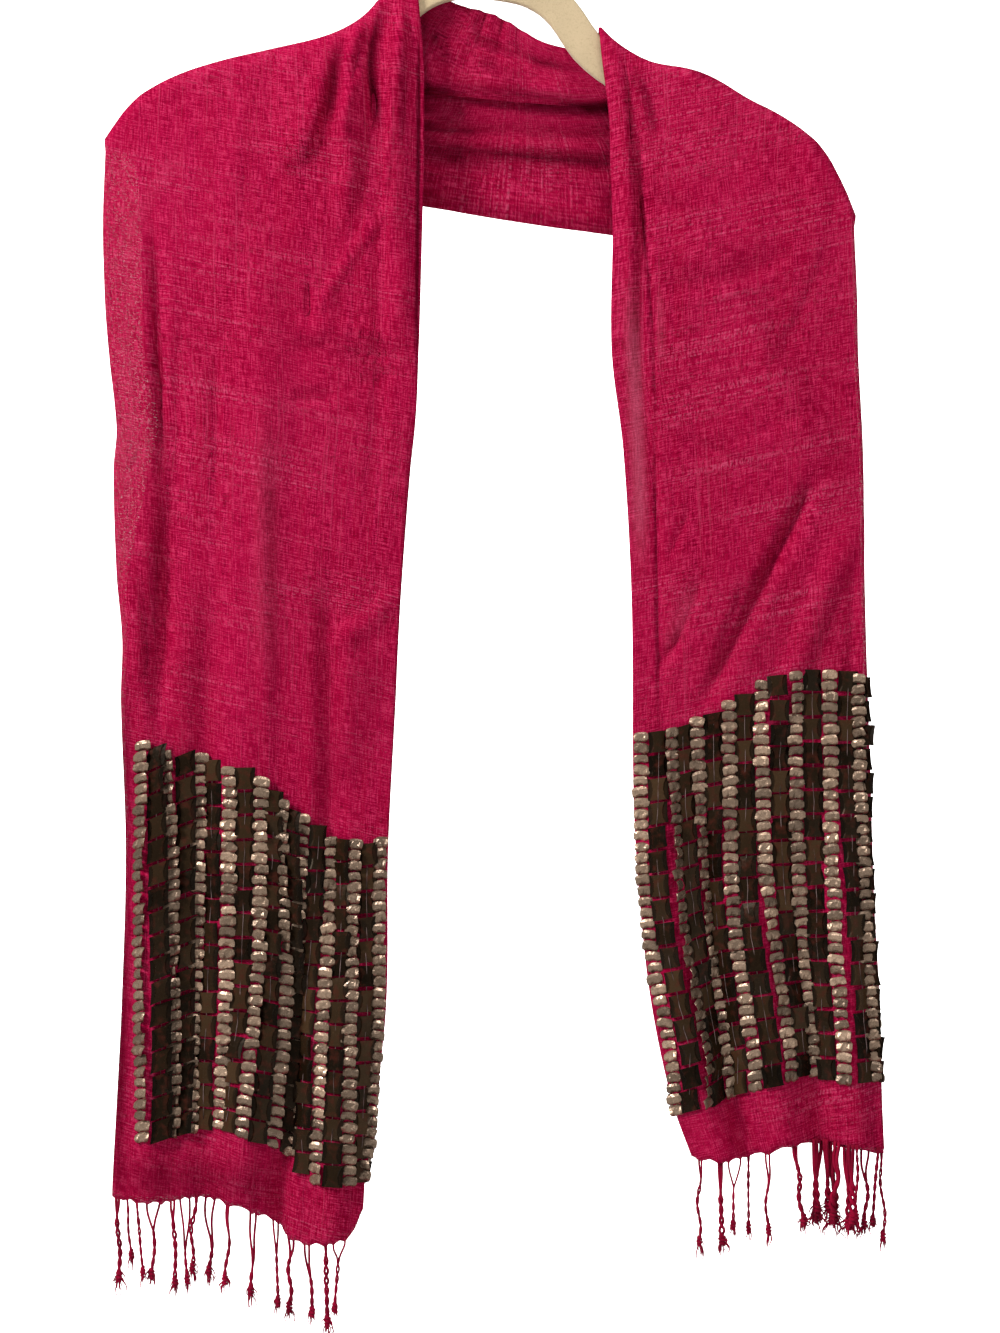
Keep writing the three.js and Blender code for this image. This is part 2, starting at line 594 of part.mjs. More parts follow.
// A flat bar with the shape of two shoulders, and a blind socket for the hook's stem.
function hangerBody() {
  const upper = [];
  const lower = [];
  const { halfSpan, stations, height } = HANGER;
  for (let k = -stations; k <= stations; k++) {
    const out = (k / stations) * halfSpan;
    const level = -read(ARM_TOP, "out", "down", abs(out));
    const slope = -armSlope(out);
    const length = sqrt(1 + slope * slope);
    upper.push(new THREE.Vector2(out, level));
    lower.unshift(new THREE.Vector2(out + (height * slope) / length, level - height / length));
  }
  const geometry = new THREE.ExtrudeGeometry(new THREE.Shape([...upper, ...lower]), {
    depth: HANGER.thickness - 2 * HANGER.bevel,
    bevelThickness: HANGER.bevel,
    bevelSize: HANGER.bevel,
    bevelOffset: -HANGER.bevel,
    bevelSegments: 1,
  });
  geometry.translate(0, 0, HANGER.bevel - HANGER.thickness / 2).rotateX(PI / 2);
  const socketRadius = HOOK.wire + SEAM;
  const socket = new THREE.CylinderGeometry(socketRadius, socketRadius, 2 * HOOK.socket, SOCKET_SIDES);
  socket.rotateX(PI / 2).translate(0, 0, -ARM_TOP[0].down);
  return geometryOf(solidOf(geometry).subtract(solidOf(socket)));
}

// A wire hook: a stem out of the hanger, then round over the rail.
function hook() {
  const radius = HOOK.inside + HOOK.wire;
  const points = [
    new THREE.Vector3(0, 0, -ARM_TOP[0].down - HOOK.socket + SEAM),
    new THREE.Vector3(0, 0, -ARM_TOP[0].down + HOOK.socket / 2),
    new THREE.Vector3(0, 0, -HOOK.stemTop),
  ];
  for (let k = 0; k <= HOOK_MESH.points; k++) {
    const angle = THREE.MathUtils.degToRad(lerp(HOOK_ROUND.from, HOOK_ROUND.to, k / HOOK_MESH.points));
    points.push(new THREE.Vector3(radius * cos(angle), 0, radius * sin(angle) - HOOK.inside));
  }
  const section = [];
  for (let k = 0; k < HOOK_MESH.sides; k++) {
    const angle = (2 * PI * k) / HOOK_MESH.sides;
    section.push(new THREE.Vector2(HOOK.wire * cos(angle), HOOK.wire * sin(angle)));
  }
  const path = new THREE.CatmullRomCurve3(points);
  return new THREE.ExtrudeGeometry(new THREE.Shape(section), { steps: HOOK_MESH.steps, extrudePath: path });
}

// ---------------------------------------------------------------- the object

const fabric = new THREE.MeshStandardMaterial({ color: 0xb8104a, roughness: 0.9 });
const threads = new THREE.MeshStandardMaterial({ color: 0xa00c3e, roughness: 0.85 });
const sequins = new THREE.MeshStandardMaterial({ color: 0x4a3524, roughness: 0.3 });
const flock = new THREE.MeshStandardMaterial({ color: 0xd8c29c, roughness: 0.95 });
const steel = new THREE.MeshStandardMaterial({ color: 0xc8c8cc, roughness: 0.25, metalness: 1 });

const scarf = new THREE.Group();

function piece(name, geometry, material, parent = scarf) {
  const mesh = new THREE.Mesh(geometry, material);
  mesh.name = name;
  parent.add(mesh);
}

for (const [name, end] of Object.entries(ENDS)) {
  const cloth = endCloth(end);
  piece(`${name}_end`, wall(cloth, -CLOTH / 2, CLOTH / 2), fabric);
  piece(`${name}_sequins`, sequinField(end, cloth), sequins);
  piece(`${name}_fringe`, fringe(end, cloth), threads);
}
piece("neck_stretch", wall(neckCloth(), -CLOTH / 2, CLOTH / 2), fabric);

const hanger = new THREE.Group();
hanger.rotation.y = TILT;
piece("hanger_body", hangerBody(), flock, hanger);
piece("hanger_hook", hook(), steel, hanger);
scarf.add(hanger);

export default scarf;
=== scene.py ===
import math

import bmesh
import bpy
import numpy as np
from bpy.props import FloatProperty, FloatVectorProperty, PointerProperty
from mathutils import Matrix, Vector


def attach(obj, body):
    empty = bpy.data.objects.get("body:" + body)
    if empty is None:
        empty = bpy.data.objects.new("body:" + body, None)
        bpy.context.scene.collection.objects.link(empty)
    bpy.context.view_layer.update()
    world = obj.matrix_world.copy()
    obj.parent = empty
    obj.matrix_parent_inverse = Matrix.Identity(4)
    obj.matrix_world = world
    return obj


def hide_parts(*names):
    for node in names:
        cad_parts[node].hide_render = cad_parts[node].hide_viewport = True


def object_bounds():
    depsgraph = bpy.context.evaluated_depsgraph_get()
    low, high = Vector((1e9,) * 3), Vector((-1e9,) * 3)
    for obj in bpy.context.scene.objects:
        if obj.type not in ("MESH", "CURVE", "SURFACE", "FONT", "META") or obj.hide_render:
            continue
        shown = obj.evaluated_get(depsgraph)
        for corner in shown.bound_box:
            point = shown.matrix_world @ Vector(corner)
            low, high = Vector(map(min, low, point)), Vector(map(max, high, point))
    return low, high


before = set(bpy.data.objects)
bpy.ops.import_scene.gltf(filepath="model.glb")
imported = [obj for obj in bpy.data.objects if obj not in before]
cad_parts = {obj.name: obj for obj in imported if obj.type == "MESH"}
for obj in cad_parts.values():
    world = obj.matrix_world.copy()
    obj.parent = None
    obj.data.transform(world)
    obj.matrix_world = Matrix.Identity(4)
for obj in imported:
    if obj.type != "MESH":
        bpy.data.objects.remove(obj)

bl_info = {
    "name": "Folded scarf on a hanger",
    "version": (1, 0, 0),
    "blender": (4, 5, 0),
    "location": "3D View > Sidebar > Scarf",
    "description": "Dresses a scarf: loose cloth, sewn sequins, knotted fringe, flocked hanger",
    "category": "Object",
}

CAD_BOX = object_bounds()
MM = 0.001

# ---------------------------------------------------------------- sizes in millimetres
# The cloth hangs on the surface that the solids were made on. `down` is the distance below the place where
# the hook rests, and `across` runs over the folded width, from 0 at the fold to 1 at the free outer edges.


def table(columns, *rows):
    """Numbers as one array for each named column."""
    return {name: np.array(values, float) for name, values in zip(columns.split(), zip(*rows))}


TILT = math.radians(3.9)

HANGER = {"thickness": 6.0, "height": 21.0, "half_span": 209.0, "corner": 1.6}
HOOK = {"wire": 1.9, "inside": 20.0, "stem_top": 54.0, "socket": 12.0, "start": -48.0, "end": 205.0}

ARM_TOP = table(
    "out down",
    (0, 73),
    (25, 76),
    (42, 83),
    (55, 93.5),
    (69, 111),
    (82, 121),
    (98, 128.5),
    (125, 136.8),
    (155, 146),
    (180, 156),
    (200, 168.5),
    (209, 178.5),
    (215, 188),
    (221, 199),
    (227, 212),
    (231, 222),
)

CLOTH = 1.0  # the wall of one layer of the solids
LAYER_PITCH = 2.4  # between the middles of the two layers
FOLD_NOSE = 2.2  # how far the fold rounds out
CLEARANCE = 1.2  # between an arm and the cloth
NOMINAL_WIDTH = 190  # of a folded end
NECK_WIDTH = 180  # of the folded neck stretch
NECK_HALF = 225  # half the way from arm to arm along the neck stretch
MIDDLE_LIFT = CLEARANCE + CLOTH / 2 + LAYER_PITCH / 2
BEND = HANGER["thickness"] / 2 + MIDDLE_LIFT
QUARTER_TURN = BEND * math.pi / 2
ARM_DROP = 30.0  # the fall past the turn before folds may reach back
SWINGS_OVER = 25.0  # the further fall until they reach back in full
FOLDS_START = 15.0  # the fall in which folds open
SPREAD_OVER = 70.0  # the fall in which an end takes its own edges
BOW = 3.0  # how far the middle of an end stands forwards
HEM_LEVEL = 825.0  # a fold that runs on past it doesn't fade out
FOLD_FADE = 0.25  # the share of a fold's length in which it rises or fades
CREASE_FADE = 0.3
BACK_TURN = 0.05  # the share of the neck stretch that turns over each arm
WEFT_CLIMB = 0.22  # how much the weft climbs over the width
HEM_POINT = 3.2  # how far a tassel pulls the hem down
HEM_POINT_WIDTH = 2.6
HEM_RISE = 0.3  # the share of that by which the hem rises in between
CLOTH_GRID = {"face": 88, "under": 30, "nose": 3, "left": 165, "neck": 60, "right": 152}

SQUARE = {"pitch": 14.2, "lift": 0.1, "wall": 0.25, "pinch": 0.07, "flank": 0.1, "dish": 0.25}
SQUARE_HEIGHTS = (1.35, 1.25, 0.55, 0.3)  # in the middle, on the table's edge, on the flank and at the rim
FLAKE = {"pitch": 6.5, "lift": 0.2, "wall": 0.3, "lip": -2.1, "notch": 0.65, "notch_rise": 0.55}
FLAKE_ROWS = ((-3.4, 0.1, 0.22), (-2.6, 0.9, 0.08), (-1.3, 1.75, 0), (1.8, 1.4, 0), (3.3, 0.45, 0.2))
STITCH_LIFT = 1.6
DROOPS = 0.75  # the sine of a turn past which a sequin hangs over an edge
ROCK_LIFT = 0.8  # how much of its low side's drop a turned sequin is lifted
PAINTED_SHADE_BY_TURN = 1.5  # how much painted shade darkens a sequin that faces sideways, as if turned from the light
# the least share of its colour that a sequin keeps under that painted shade
LEAST_SHADED_TONE = 0.12

# These are in metres.
STITCH_RADIUS = 0.0002
STITCH_WANDER = 0.0003
TWIST = 0.012  # one turn of a tassel's two threads
ROOT_INSIDE = 0.0015  # how far a fringe thread runs on inside the cloth
HAIR = 0.00012
KNOT_AT = 0.8  # the share of a tassel's length where its knot is

FOLD_COLUMNS = "start stop across low half depth"

# A crease runs straight from one place of the front to another, or bows by `bend` on the way. It dies away
# over `left` and `right` of it, for one who goes down it facing the cloth. A positive depth stands forwards.
CREASE_COLUMNS = "from_x from_down to_x to_down bend left right depth"

# A column of sequins, placed at three heights. `turned` is how far it faces sideways, and `skew` is how
# much its rows climb.
SEQUIN_COLUMNS = "large high middle low turned skew"

# A tassel: two threads that leave the hem `apart`, meet a share of the way down and end in a knot that
# hangs `shift` to the side.
TASSEL_COLUMNS = "layer x apart meets shift length heft"

# Each hanging end. It covers an arm from one place to another, and stands off the arm where it is `loose`.
# `layers` is how much of the width each layer covers. Its rows of painted shade and light are set like
# creases:
# above 0 they paint shade into the cloth in folds and under laps, and deepen it where the layers lie
# doubled;
# below 0 they paint the light that shines through a single layer.
LEFT = {
    "side": -1,
    "arm": (43, 222),
    "loose": [],
    "edges": table(
        "down inner outer",
        (190, -44, -237.6),
        (276, -46.2, -235.2),
        (312, -47.4, -232.4),
        (338, -48.4, -229.4),
        (356, -49.8, -228.2),
        (378, -52.2, -230),
        (440, -57, -228.2),
        (480, -59.4, -224.8),
        (516, -61, -225.6),
        (606, -65.5, -222.6),
        (696, -66.5, -225),
        (756, -72.6, -228),
        (804, -79.4, -230.6),
        (820, -80.4, -231),
        (840, -82.5, -231),
    ),
    "levels": table(
        "across top bottom hem",
        (0, 599, 803, 822),
        (0.03, 599, 804, 834),
        (0.08, 600, 806, 839),
        (0.25, 596, 805, 840),
        (0.36, 580, 788, 827),
        (0.5, 560, 777, 818),
        (0.65, 552, 774, 813),
        (0.82, 546, 779, 816),
        (1, 538, 781, 813),
    ),
    "layers": table(
        "down face under",
        (150, 1, 0.98),
        (198, 1, 0.95),
        (228, 1, 0.89),
        (300, 1, 0.88),
        (338, 1, 0.89),
        (378, 1, 0.857),
        (406, 1, 0.88),
        (439, 1, 0.935),
        (463, 1, 0.98),
        (820, 1, 1),
    ),
    "hem_shift": -3,
    "folds": table(
        FOLD_COLUMNS,
        (98, 235, 0.19, 0.245, 11, 7),
        (98, 320, 0.07, 0.06, 14, 6),
        (112, 205, 0.36, 0.42, 18, 4),
        (190, 430, 0.13, 0.12, 9, -1.5),
        (200, 640, 0.5, 0.55, 26, 5),
        (280, 500, 0.8, 0.82, 15, -5),
        (420, 800, 0.69, 0.72, 16, -5),
        (420, 680, 0.26, 0.2, 13, -6),
        (560, 860, 0.9, 0.86, 17, 6),
        (650, 860, 0.34, 0.32, 12, -8),
        (660, 860, 0.14, 0.12, 18, 7),
        (700, 860, 0.5, 0.48, 17, 7),
        (740, 860, 0.64, 0.62, 14, -3),
    ),
    "creases": table(
        CREASE_COLUMNS,
        (-82, 112, -98, 170, 3, 9, 3, -7),
        (-66, 96, -72, 176, -7, 3, 8, -10),
        (-79, 100, -93, 196, -4, 6, 5, 8),
        (-100, 118, -120, 200, 2, 12, 7, 5),
        (-57, 90, -62, 200, 0, 6, 5, 6),
        (-88, 122, -90, 200, 0, 5, 5, 1.6),
        (-58, 126, -64, 232, 0, 4, 4, -3),
        (-46.6, 92, -48.4, 330, 0, 1.4, 1.4, -2.6),
        (-193, 236, -196, 470, -3, 6, 6, 2.2),
        (-206, 214, -200, 400, 1, 8, 3.5, -5),
        (-198, 370, -202, 540, 3, 11, 4, -5),
        (-222, 428, -216, 516, 3, 7, 5, 4.5),
        (-169, 300, -168, 410, 0, 5, 6, -2),
        (-142, 320, -137, 570, 0, 8, 8, 2),
        (-139, 266, -112, 292, -2, 3, 6, -1.6),
        (-116, 290, -56, 301, 2, 7, 3, 2.6),
        (-112, 289, -60, 214, 3, 7, 4, 2.4),
        (-131, 238, -84, 234, 5, 5, 3, 1.6),
        (-114, 262, -112, 292, 0, 3, 5, -3.4),
        (-124, 301, -98, 304, 0, 5, 4, -3),
        (-92, 306, -54, 308, -2, 3, 4, -2.6),
        (-90, 322, -56, 318, -3, 4, 4, -2.2),
        (-126, 334, -92, 332, -1, 4, 5, -3),
        (-108, 484, -58, 444, -4, 16, 2.5, 3.4),
        (-140, 396, -108, 424, -2, 3, 5, -1.4),
        (-186, 560, -190, 640, 0, 22, 14, -3),
        (-150, 120, -166, 300, 0, 12, 9, 1.4),
    ),
    # Painted shade in folds and doubled layers; the rows below 0 paint light shining through the single
    # layer.
    "painted_shade_and_light": table(
        CREASE_COLUMNS,
        (-206, 224, -203, 352, 0, 7, 4, 0.3),
        (-204, 326, -197, 430, 2, 8, 3, 0.34),
        (-201, 390, -205, 560, -4, 10, 6, 0.4),
        (-225, 470, -228, 840, 0, 8, 10, 0.85),
        (-92, 112, -101, 176, 0, 9, 4, 0.6),
        (-68, 92, -70, 180, -7, 3, 8, 0.85),
        (-56, 110, -60, 270, 0, 8, 8, 0.36),
        (-46.6, 84, -49, 340, 0, 2, 2, 0.8),
        (-182, 180, -226, 250, -4, 9, 9, -0.08),
        (-221, 205, -221, 350, 0, 11, 8, -0.05),
        (-221, 330, -219, 440, -4, 12, 8, -0.05),
        (-224, 360, -217, 378, 2, 1.5, 1.5, 0.6),
        (-50, 300, -62, 560, 0, 3, 3, 0.35),
        (-96, 262, -108, 306, 4, 8, 8, 0.2),
        (-130, 305, -70, 312, 2, 6, 7, 0.22),
        (-70, 470, -104, 590, 6, 26, 16, 0.24),
        (-176, 430, -178, 590, 0, 14, 12, 0.16),
        (-140, 330, -140, 520, 0, 10, 14, -0.12),
        (-246, 800, -120, 806, 0, 26, 22, 0.42),
        (-196, 540, -196, 600, 0, 14, 10, 0.3),
    ),
    "sequin_levels": (590, 680, 780),
    "sequins": table(
        SEQUIN_COLUMNS,
        (0, -212.6, -212.6, -211, 0.35, 0.35),
        (1, -204, -202, -201.6, 0.4, 0.42),
        (0, -196.8, -195.4, -195, 0.68, 0.4),
        (1, -187.6, -188.2, -188.6, 0.35, 0.38),
        (0, -178.2, -181.2, -183.6, 0.15, 0.05),
        (1, -169.2, -171.6, -176.6, 0, 0.02),
        (0, -159.6, -162, -165.4, 0, 0),
        (1, -150.6, -153, -160, 0, 0),
        (0, -141.4, -143, -152.4, 0.3, -0.1),
        (1, -134.4, -135.2, -144.4, 0.2, -0.15),
        (0, -128.6, -127.6, -136.2, 0.65, -0.2),
        (1, -123, -122, -127.6, 0.5, -0.2),
        (0, -116.8, -120, -122.6, 0, -0.05),
        (1, -108.4, -111.6, -115.8, 0, 0),
        (0, -99.6, -102.6, -107, 0, 0),
        (1, -91.6, -93.6, -98, 0.1, 0.05),
        (0, -84.6, -86.8, -90.2, 0.5, 0.1),
        (1, -77.4, -79, -82.2, 0, 0.1),
        (0, -70.2, -71, -76, 0.5, 0.15),
    ),
    "tassels": table(
        TASSEL_COLUMNS,
        (1, -227.4, 2, 0.25, 0.9, 56, 1.6),
        (-1, -222.6, 0.8, 0.1, 2.4, 43, 0.8),
        (1, -214.8, 0.8, 0.1, 3.6, 49, 0.8),
        (-1, -205.2, 8, 0.5, -1.2, 53, 1.3),
        (1, -194.4, 2.4, 0.3, 1.8, 58, 1.4),
        (-1, -187.2, 6, 0.8, 1.4, 60, 1.1),
        (1, -180.6, 1, 0.1, -3.4, 50, 1.2),
        (-1, -172.2, 5, 0.85, -1.2, 54, 1.3),
        (1, -160.2, 1.2, 0.55, -0.6, 52, 1.2),
        (-1, -145.2, 3.2, 0.9, -1, 57, 1.3),
        (1, -133.8, 3, 0.5, 1.4, 57, 1),
        (-1, -124.8, 3.6, 0.4, -0.8, 52, 1.5),
        (1, -113.4, 3, 0.6, 3.4, 47, 1.3),
        (-1, -102.6, 0.8, 0.1, 1, 54, 1.6),
        (1, -94.8, 6.6, 0.3, -2.6, 46, 1),
    ),
}

RIGHT = {
    "side": 1,
    "arm": (69, 229),
    "loose": [(132, 36, 5)],
    "edges": table(
        "down inner outer",
        (190, 68, 209),
        (230, 69.6, 215.4),
        (306, 69, 216.6),
        (366, 76, 219.5),
        (456, 81, 220.8),
        (576, 82.2, 224.4),
        (636, 85.8, 226.2),
        (696, 92.5, 229.5),
        (756, 105, 231),
        (790, 117, 232.5),
    ),
    "levels": table(
        "across top bottom hem",
        (0, 537, 766, 790),
        (0.16, 532, 760, 791),
        (0.36, 520, 752, 787),
        (0.5, 508, 746, 782),
        (0.63, 499, 742, 779),
        (0.83, 497, 746, 781),
        (1, 501, 745, 784),
    ),
    "layers": table(
        "down face under",
        (150, 1, 0.985),
        (500, 1, 0.985),
        (800, 1, 1),
    ),
    "hem_shift": 3,
    "folds": table(
        FOLD_COLUMNS,
        (90, 340, 0.05, 0.07, 10, 4),
        (150, 600, 0.1, 0.13, 6, -1),
        (128, 190, 0.4, 0.44, 9, -5),
        (220, 400, 0.3, 0.92, 24, 4),
        (372, 530, 0.84, 0.26, 11, -6),
        (400, 560, 0.98, 0.5, 14, 4),
        (440, 500, 0.3, 0.12, 8, -4),
        (540, 830, 0.12, 0.14, 15, 6),
        (560, 830, 0.3, 0.3, 12, -7),
        (600, 830, 0.5, 0.5, 16, 6),
        (620, 830, 0.68, 0.7, 13, -6),
        (560, 830, 0.87, 0.86, 15, 6),
    ),
    "creases": table(
        CREASE_COLUMNS,
        (77, 128, 89, 262, -2, 2, 12, -4),
        (82, 190, 95.5, 360, 3, 1.4, 4, -1.2),
        (94, 330, 97, 545, 0, 1.4, 4, -0.9),
        (80, 120, 84, 220, 0, 6, 4, 2),
        (87, 132, 95, 178, 0, 3, 8, -3),
        (100, 128, 132, 141, 2, 3, 7, 3.4),
        (122, 134, 134, 150, 0, 5, 5, -2.5),
        (104, 118, 136, 134, 1, 5, 3, 5),
        (112, 136, 140, 158, 1, 5, 3, 4),
        (86, 212, 122, 222, 0, 5, 5, -2),
        (94, 271, 184, 248, -6, 4, 22, -2.6),
        (94, 274, 184, 252, -6, 7, 4, 1.6),
        (206, 226, 163, 322, 4, 9, 8, -1.8),
        (202, 240, 172, 310, 3, 4, 5, 1.2),
        (92, 349, 178, 386, 1, 2.5, 3.5, -1.2),
        (90, 378, 209, 330, -3, 3.5, 2.5, -1.2),
        (192, 374, 150, 456, 4, 5, 2, -1.5),
        (150, 440, 128, 490, 2, 5, 2.5, -1.8),
        (176, 420, 160, 462, 1, 4, 4, 2),
        (119, 444, 98, 488, 2, 4, 7, 3.2),
        (118, 396, 98, 438, 1, 3, 4, -1.6),
        (214, 430, 212, 520, 0, 6, 6, -1.6),
        (176, 130, 196, 240, 2, 10, 10, 1.4),
        (108, 150, 150, 158, 3, 6, 8, -1.4),
    ),
    # Painted shade in folds and along the groove; the rows below 0 paint light shining through the
    # single-layer strip.
    "painted_shade_and_light": table(
        CREASE_COLUMNS,
        (82, 184, 95, 360, 3, 1.3, 1.8, 0.45),
        (94, 320, 97, 550, 0, 1.3, 1.8, 0.4),
        (79, 254, 87, 450, 1, 8, 7, -0.55),
        (97, 264, 99, 320, 0, 4, 4, -0.2),
        (82, 136, 95, 182, 3, 7, 4, 0.5),
        (106, 128, 134, 150, 1, 3, 4, 0.5),
        (92, 214, 124, 226, 0, 5, 5, 0.16),
        (94, 271, 184, 248, -6, 5, 24, 0.14),
        (206, 226, 163, 322, 4, 9, 9, 0.1),
        (192, 374, 150, 456, 4, 4, 2, 0.16),
        (150, 440, 122, 500, 2, 5, 3, 0.2),
        (92, 349, 178, 386, 1, 3, 5, 0.14),
        (119, 444, 98, 488, 2, 8, 8, -0.16),
        (160, 420, 150, 520, 0, 30, 30, 0.14),
        (222, 200, 226, 600, 0, 8, 3, 0.24),
    ),
    "sequin_levels": (540, 636, 732),
    "sequins": table(
        SEQUIN_COLUMNS,
        (0, 86.4, 89, 106.6, 0.1, 0.05),
        (1, 96.6, 99, 116.4, 0, 0.1),
        (0, 105, 108.2, 124.6, 0.5, 0.2),
        (1, 111.6, 116, 130.6, 0, 0.26),
        (0, 120, 125, 140.2, 0.2, 0.15),
        (1, 129.6, 133, 146.6, 0, 0.16),
        (0, 138.6, 141.6, 156, 0.25, 0.1),
        (1, 148.2, 151, 164.6, 0, 0.06),
        (0, 158.4, 161.6, 175, 0, 0.02),
        (1, 168.6, 172, 182.6, 0, 0),
        (0, 178.2, 181.2, 191.2, 0.15, 0),
        (1, 188.4, 191.4, 199.2, 0, -0.03),
        (0, 199.2, 202.2, 208.8, 0, 0),
        (1, 209.4, 212.4, 219.4, 0, 0),
        (0, 216.6, 219.2, 225.8, -0.4, 0.05),
        (1, 220.6, 223, 228.6, -1.15, 0),
    ),
    "tassels": table(
        TASSEL_COLUMNS,
        (1, 122.4, 1.6, 0.3, -1, 58, 1),
        (-1, 133.5, 2, 0.5, 1, 54, 1.8),
        (1, 141.6, 7.4, 0.5, -1, 46, 0.8),
        (-1, 151.4, 0.8, 0.1, 0, 51, 0.7),
        (1, 162.6, 2, 0.6, 0, 55, 1),
        (-1, 178.6, 2, 0.3, 5, 52, 1.7),
        (1, 190, 2, 0.7, 1, 50, 2.3),
        (-1, 194, 2.4, 0.6, -2, 53, 2.5),
        (1, 197.6, 2, 0.8, 2, 48, 2.3),
        (-1, 201, 2.4, 0.7, 1, 54, 2.7),
        (1, 204.8, 2, 0.8, -2, 51, 2.3),
        (-1, 208.4, 2.4, 0.7, 2, 55, 2.5),
        (1, 212, 2, 0.6, 1, 52, 2.3),
        (1, 215, 1, 0.1, 0, 50, 0.9),
        (-1, 220.8, 5, 0.5, 0.6, 52, 1.4),
        (1, 228, 1.4, 0.1, -3.4, 52, 1.1),
        (-1, 231, 0.8, 0.1, 1, 60, 0.9),
    ),
}

NECK = {
    "sag": table("across sag lean", (0, 16.5, 0.65), (0.5, 23.7, -0.55), (1, 20, 1)),
    "opens": (0.1, 0.36),
    "crease_opens": (0.05, 0.2),
    "pleat": {"across": 0.29, "half": 0.17, "rise": 12, "step": 7.5, "lap": 0.55},
    "folds": table("across half depth", (0.12, 0.14, 4), (0.66, 0.12, 5), (0.85, 0.14, -4)),
    "gathers": {"across": 0.2, "along": 0.47, "half": 0.16, "waves": 6, "depth": 2.5, "lift": 5},
    "billow": 7,
    "creases": table(
        CREASE_COLUMNS,
        (-44, 108, -20, 124, 2, 4, 3, 3.6),
        (-42, 118, -14, 130, -2, 3, 4, -3.6),
        (-40, 130, -10, 128, 3, 4, 5, 3.6),
        (-36, 104, -8, 112, 2, 3, 3, -3),
        (-30, 96, -14, 122, 4, 3, 4, 3),
        (-26, 112, 34, 128, -5, 3, 4, 2.4),
        (-16, 106, 46, 134, -4, 2, 2, -2),
        (-30, 140, 10, 138, 2, 5, 4, -2),
        (-10, 120, 40, 140, 3, 8, 6, -3),
        (-44, 142, 66, 152, 4, 6, 3, 1.6),
        (-42, 172, 66, 176, 1, 4, 8, 1.5),
        (-40, 200, 20, 208, -2, 3, 3, -1.2),
        (-10, 214, 68, 224, -2, 3, 3, -1.2),
        (-44, 218, 70, 236, 0, 2, 2, -1.2),
    ),
    # Painted shade under the lap, in the band below it, in the gathers and beside the arms.
    "painted_shade_and_light": table(
        CREASE_COLUMNS,
        (-76, 146, 110, 166, 3, 1.6, 9, 0.75),
        (-76, 182, 110, 192, 0, 8, 12, 0.85),
        (-16, 126, 28, 141, -4, 7, 7, 0.5),
        (-30, 106, 58, 136, -5, 2, 3, 0.55),
        (-43, 112, -33, 124, 2, 1.5, 1.5, 0.7),
        (-35, 123, -27, 116, -1, 1.3, 1.3, 0.6),
        (-30, 107, -12, 122, -2, 1.5, 1.5, 0.6),
        (-41, 113, -29, 107, 2, 1.3, 1.3, 0.5),
        (-44, 70, -40, 260, 0, 5, 3, 0.5),
        (66, 100, 72, 260, 0, 3, 9, 0.5),
        (-30, 158, -34, 176, 0, 2, 2, 0.4),
    ),
}

# ---------------------------------------------------------------- the cloth's surface


def ease(start, stop, x):
    t = np.clip((x - start) / (stop - start), 0, 1)
    return t * t * (3 - 2 * t)


def bump(x):
    return np.where(np.abs(x) < 1, np.cos(np.clip(x, -1, 1) * math.pi / 2) ** 2, 0)


def mix(a, b, t):
    return a + (b - a) * t


def read(rows, by, column, x):
    """A column of a table at x, on a smooth curve through its rows and level past its ends."""
    places, values = rows[by], rows[column]
    x = np.clip(np.asarray(x, float), places[0], places[-1])
    order = np.arange(len(places))
    before, after = np.maximum(order - 1, 0), np.minimum(order + 1, len(places) - 1)
    slopes = (values[after] - values[before]) / (places[after] - places[before])
    i = np.clip(np.searchsorted(places, x) - 1, 0, len(places) - 2)
    span = places[i + 1] - places[i]
    t = (x - places[i]) / span
    leave, arrive = slopes[i] * span, slopes[i + 1] * span
    rise = values[i + 1] - values[i]
    second, third = 3 * rise - 2 * leave - arrive, leave + arrive - 2 * rise
    return values[i] + t * (leave + t * (second + t * third))


def lean_over(x, z):
    """From the hanger's own frame to the leaning one."""
    return x * math.cos(TILT) + z * math.sin(TILT), z * math.cos(TILT) - x * math.sin(TILT)


def ridge(end, across):
    """The highest place of the middle surface over an arm."""
    out = mix(*end["arm"], across)
    slope = (read(ARM_TOP, "out", "down", out + 1) - read(ARM_TOP, "out", "down", out - 1)) / 2
    height = -read(ARM_TOP, "out", "down", out) + MIDDLE_LIFT * np.sqrt(1 + slope * slope)
    for centre, half, lift in end["loose"]:
        height = height + lift * bump((out - centre) / half)
    return lean_over(end["side"] * out, height)


def rows_of(rows, columns):
    """The rows of a table, as its named columns in order."""
    return zip(*(rows[name] for name in columns.split()))


def edges_at(end, down):
    """Where an end's inner and outer edges are at a height."""
    return (read(end["edges"], "down", name, down) for name in ("inner", "outer"))


def fold_depth(end, across, down):
    inner, outer = edges_at(end, down)
    width = np.abs(outer - inner)
    depth = np.zeros_like(down)
    for start, stop, high, low, half, deep in rows_of(end["folds"], FOLD_COLUMNS):
        along = (down - start) / (stop - start)
        fade = ease(0, FOLD_FADE, along)
        if stop <= HEM_LEVEL:
            fade = fade * ease(0, FOLD_FADE, 1 - along)
        fade = np.where((along > 0) & (along < 1), fade, 0)
        depth += deep * fade * bump((across - mix(high, low, along)) * width / half)
    return depth


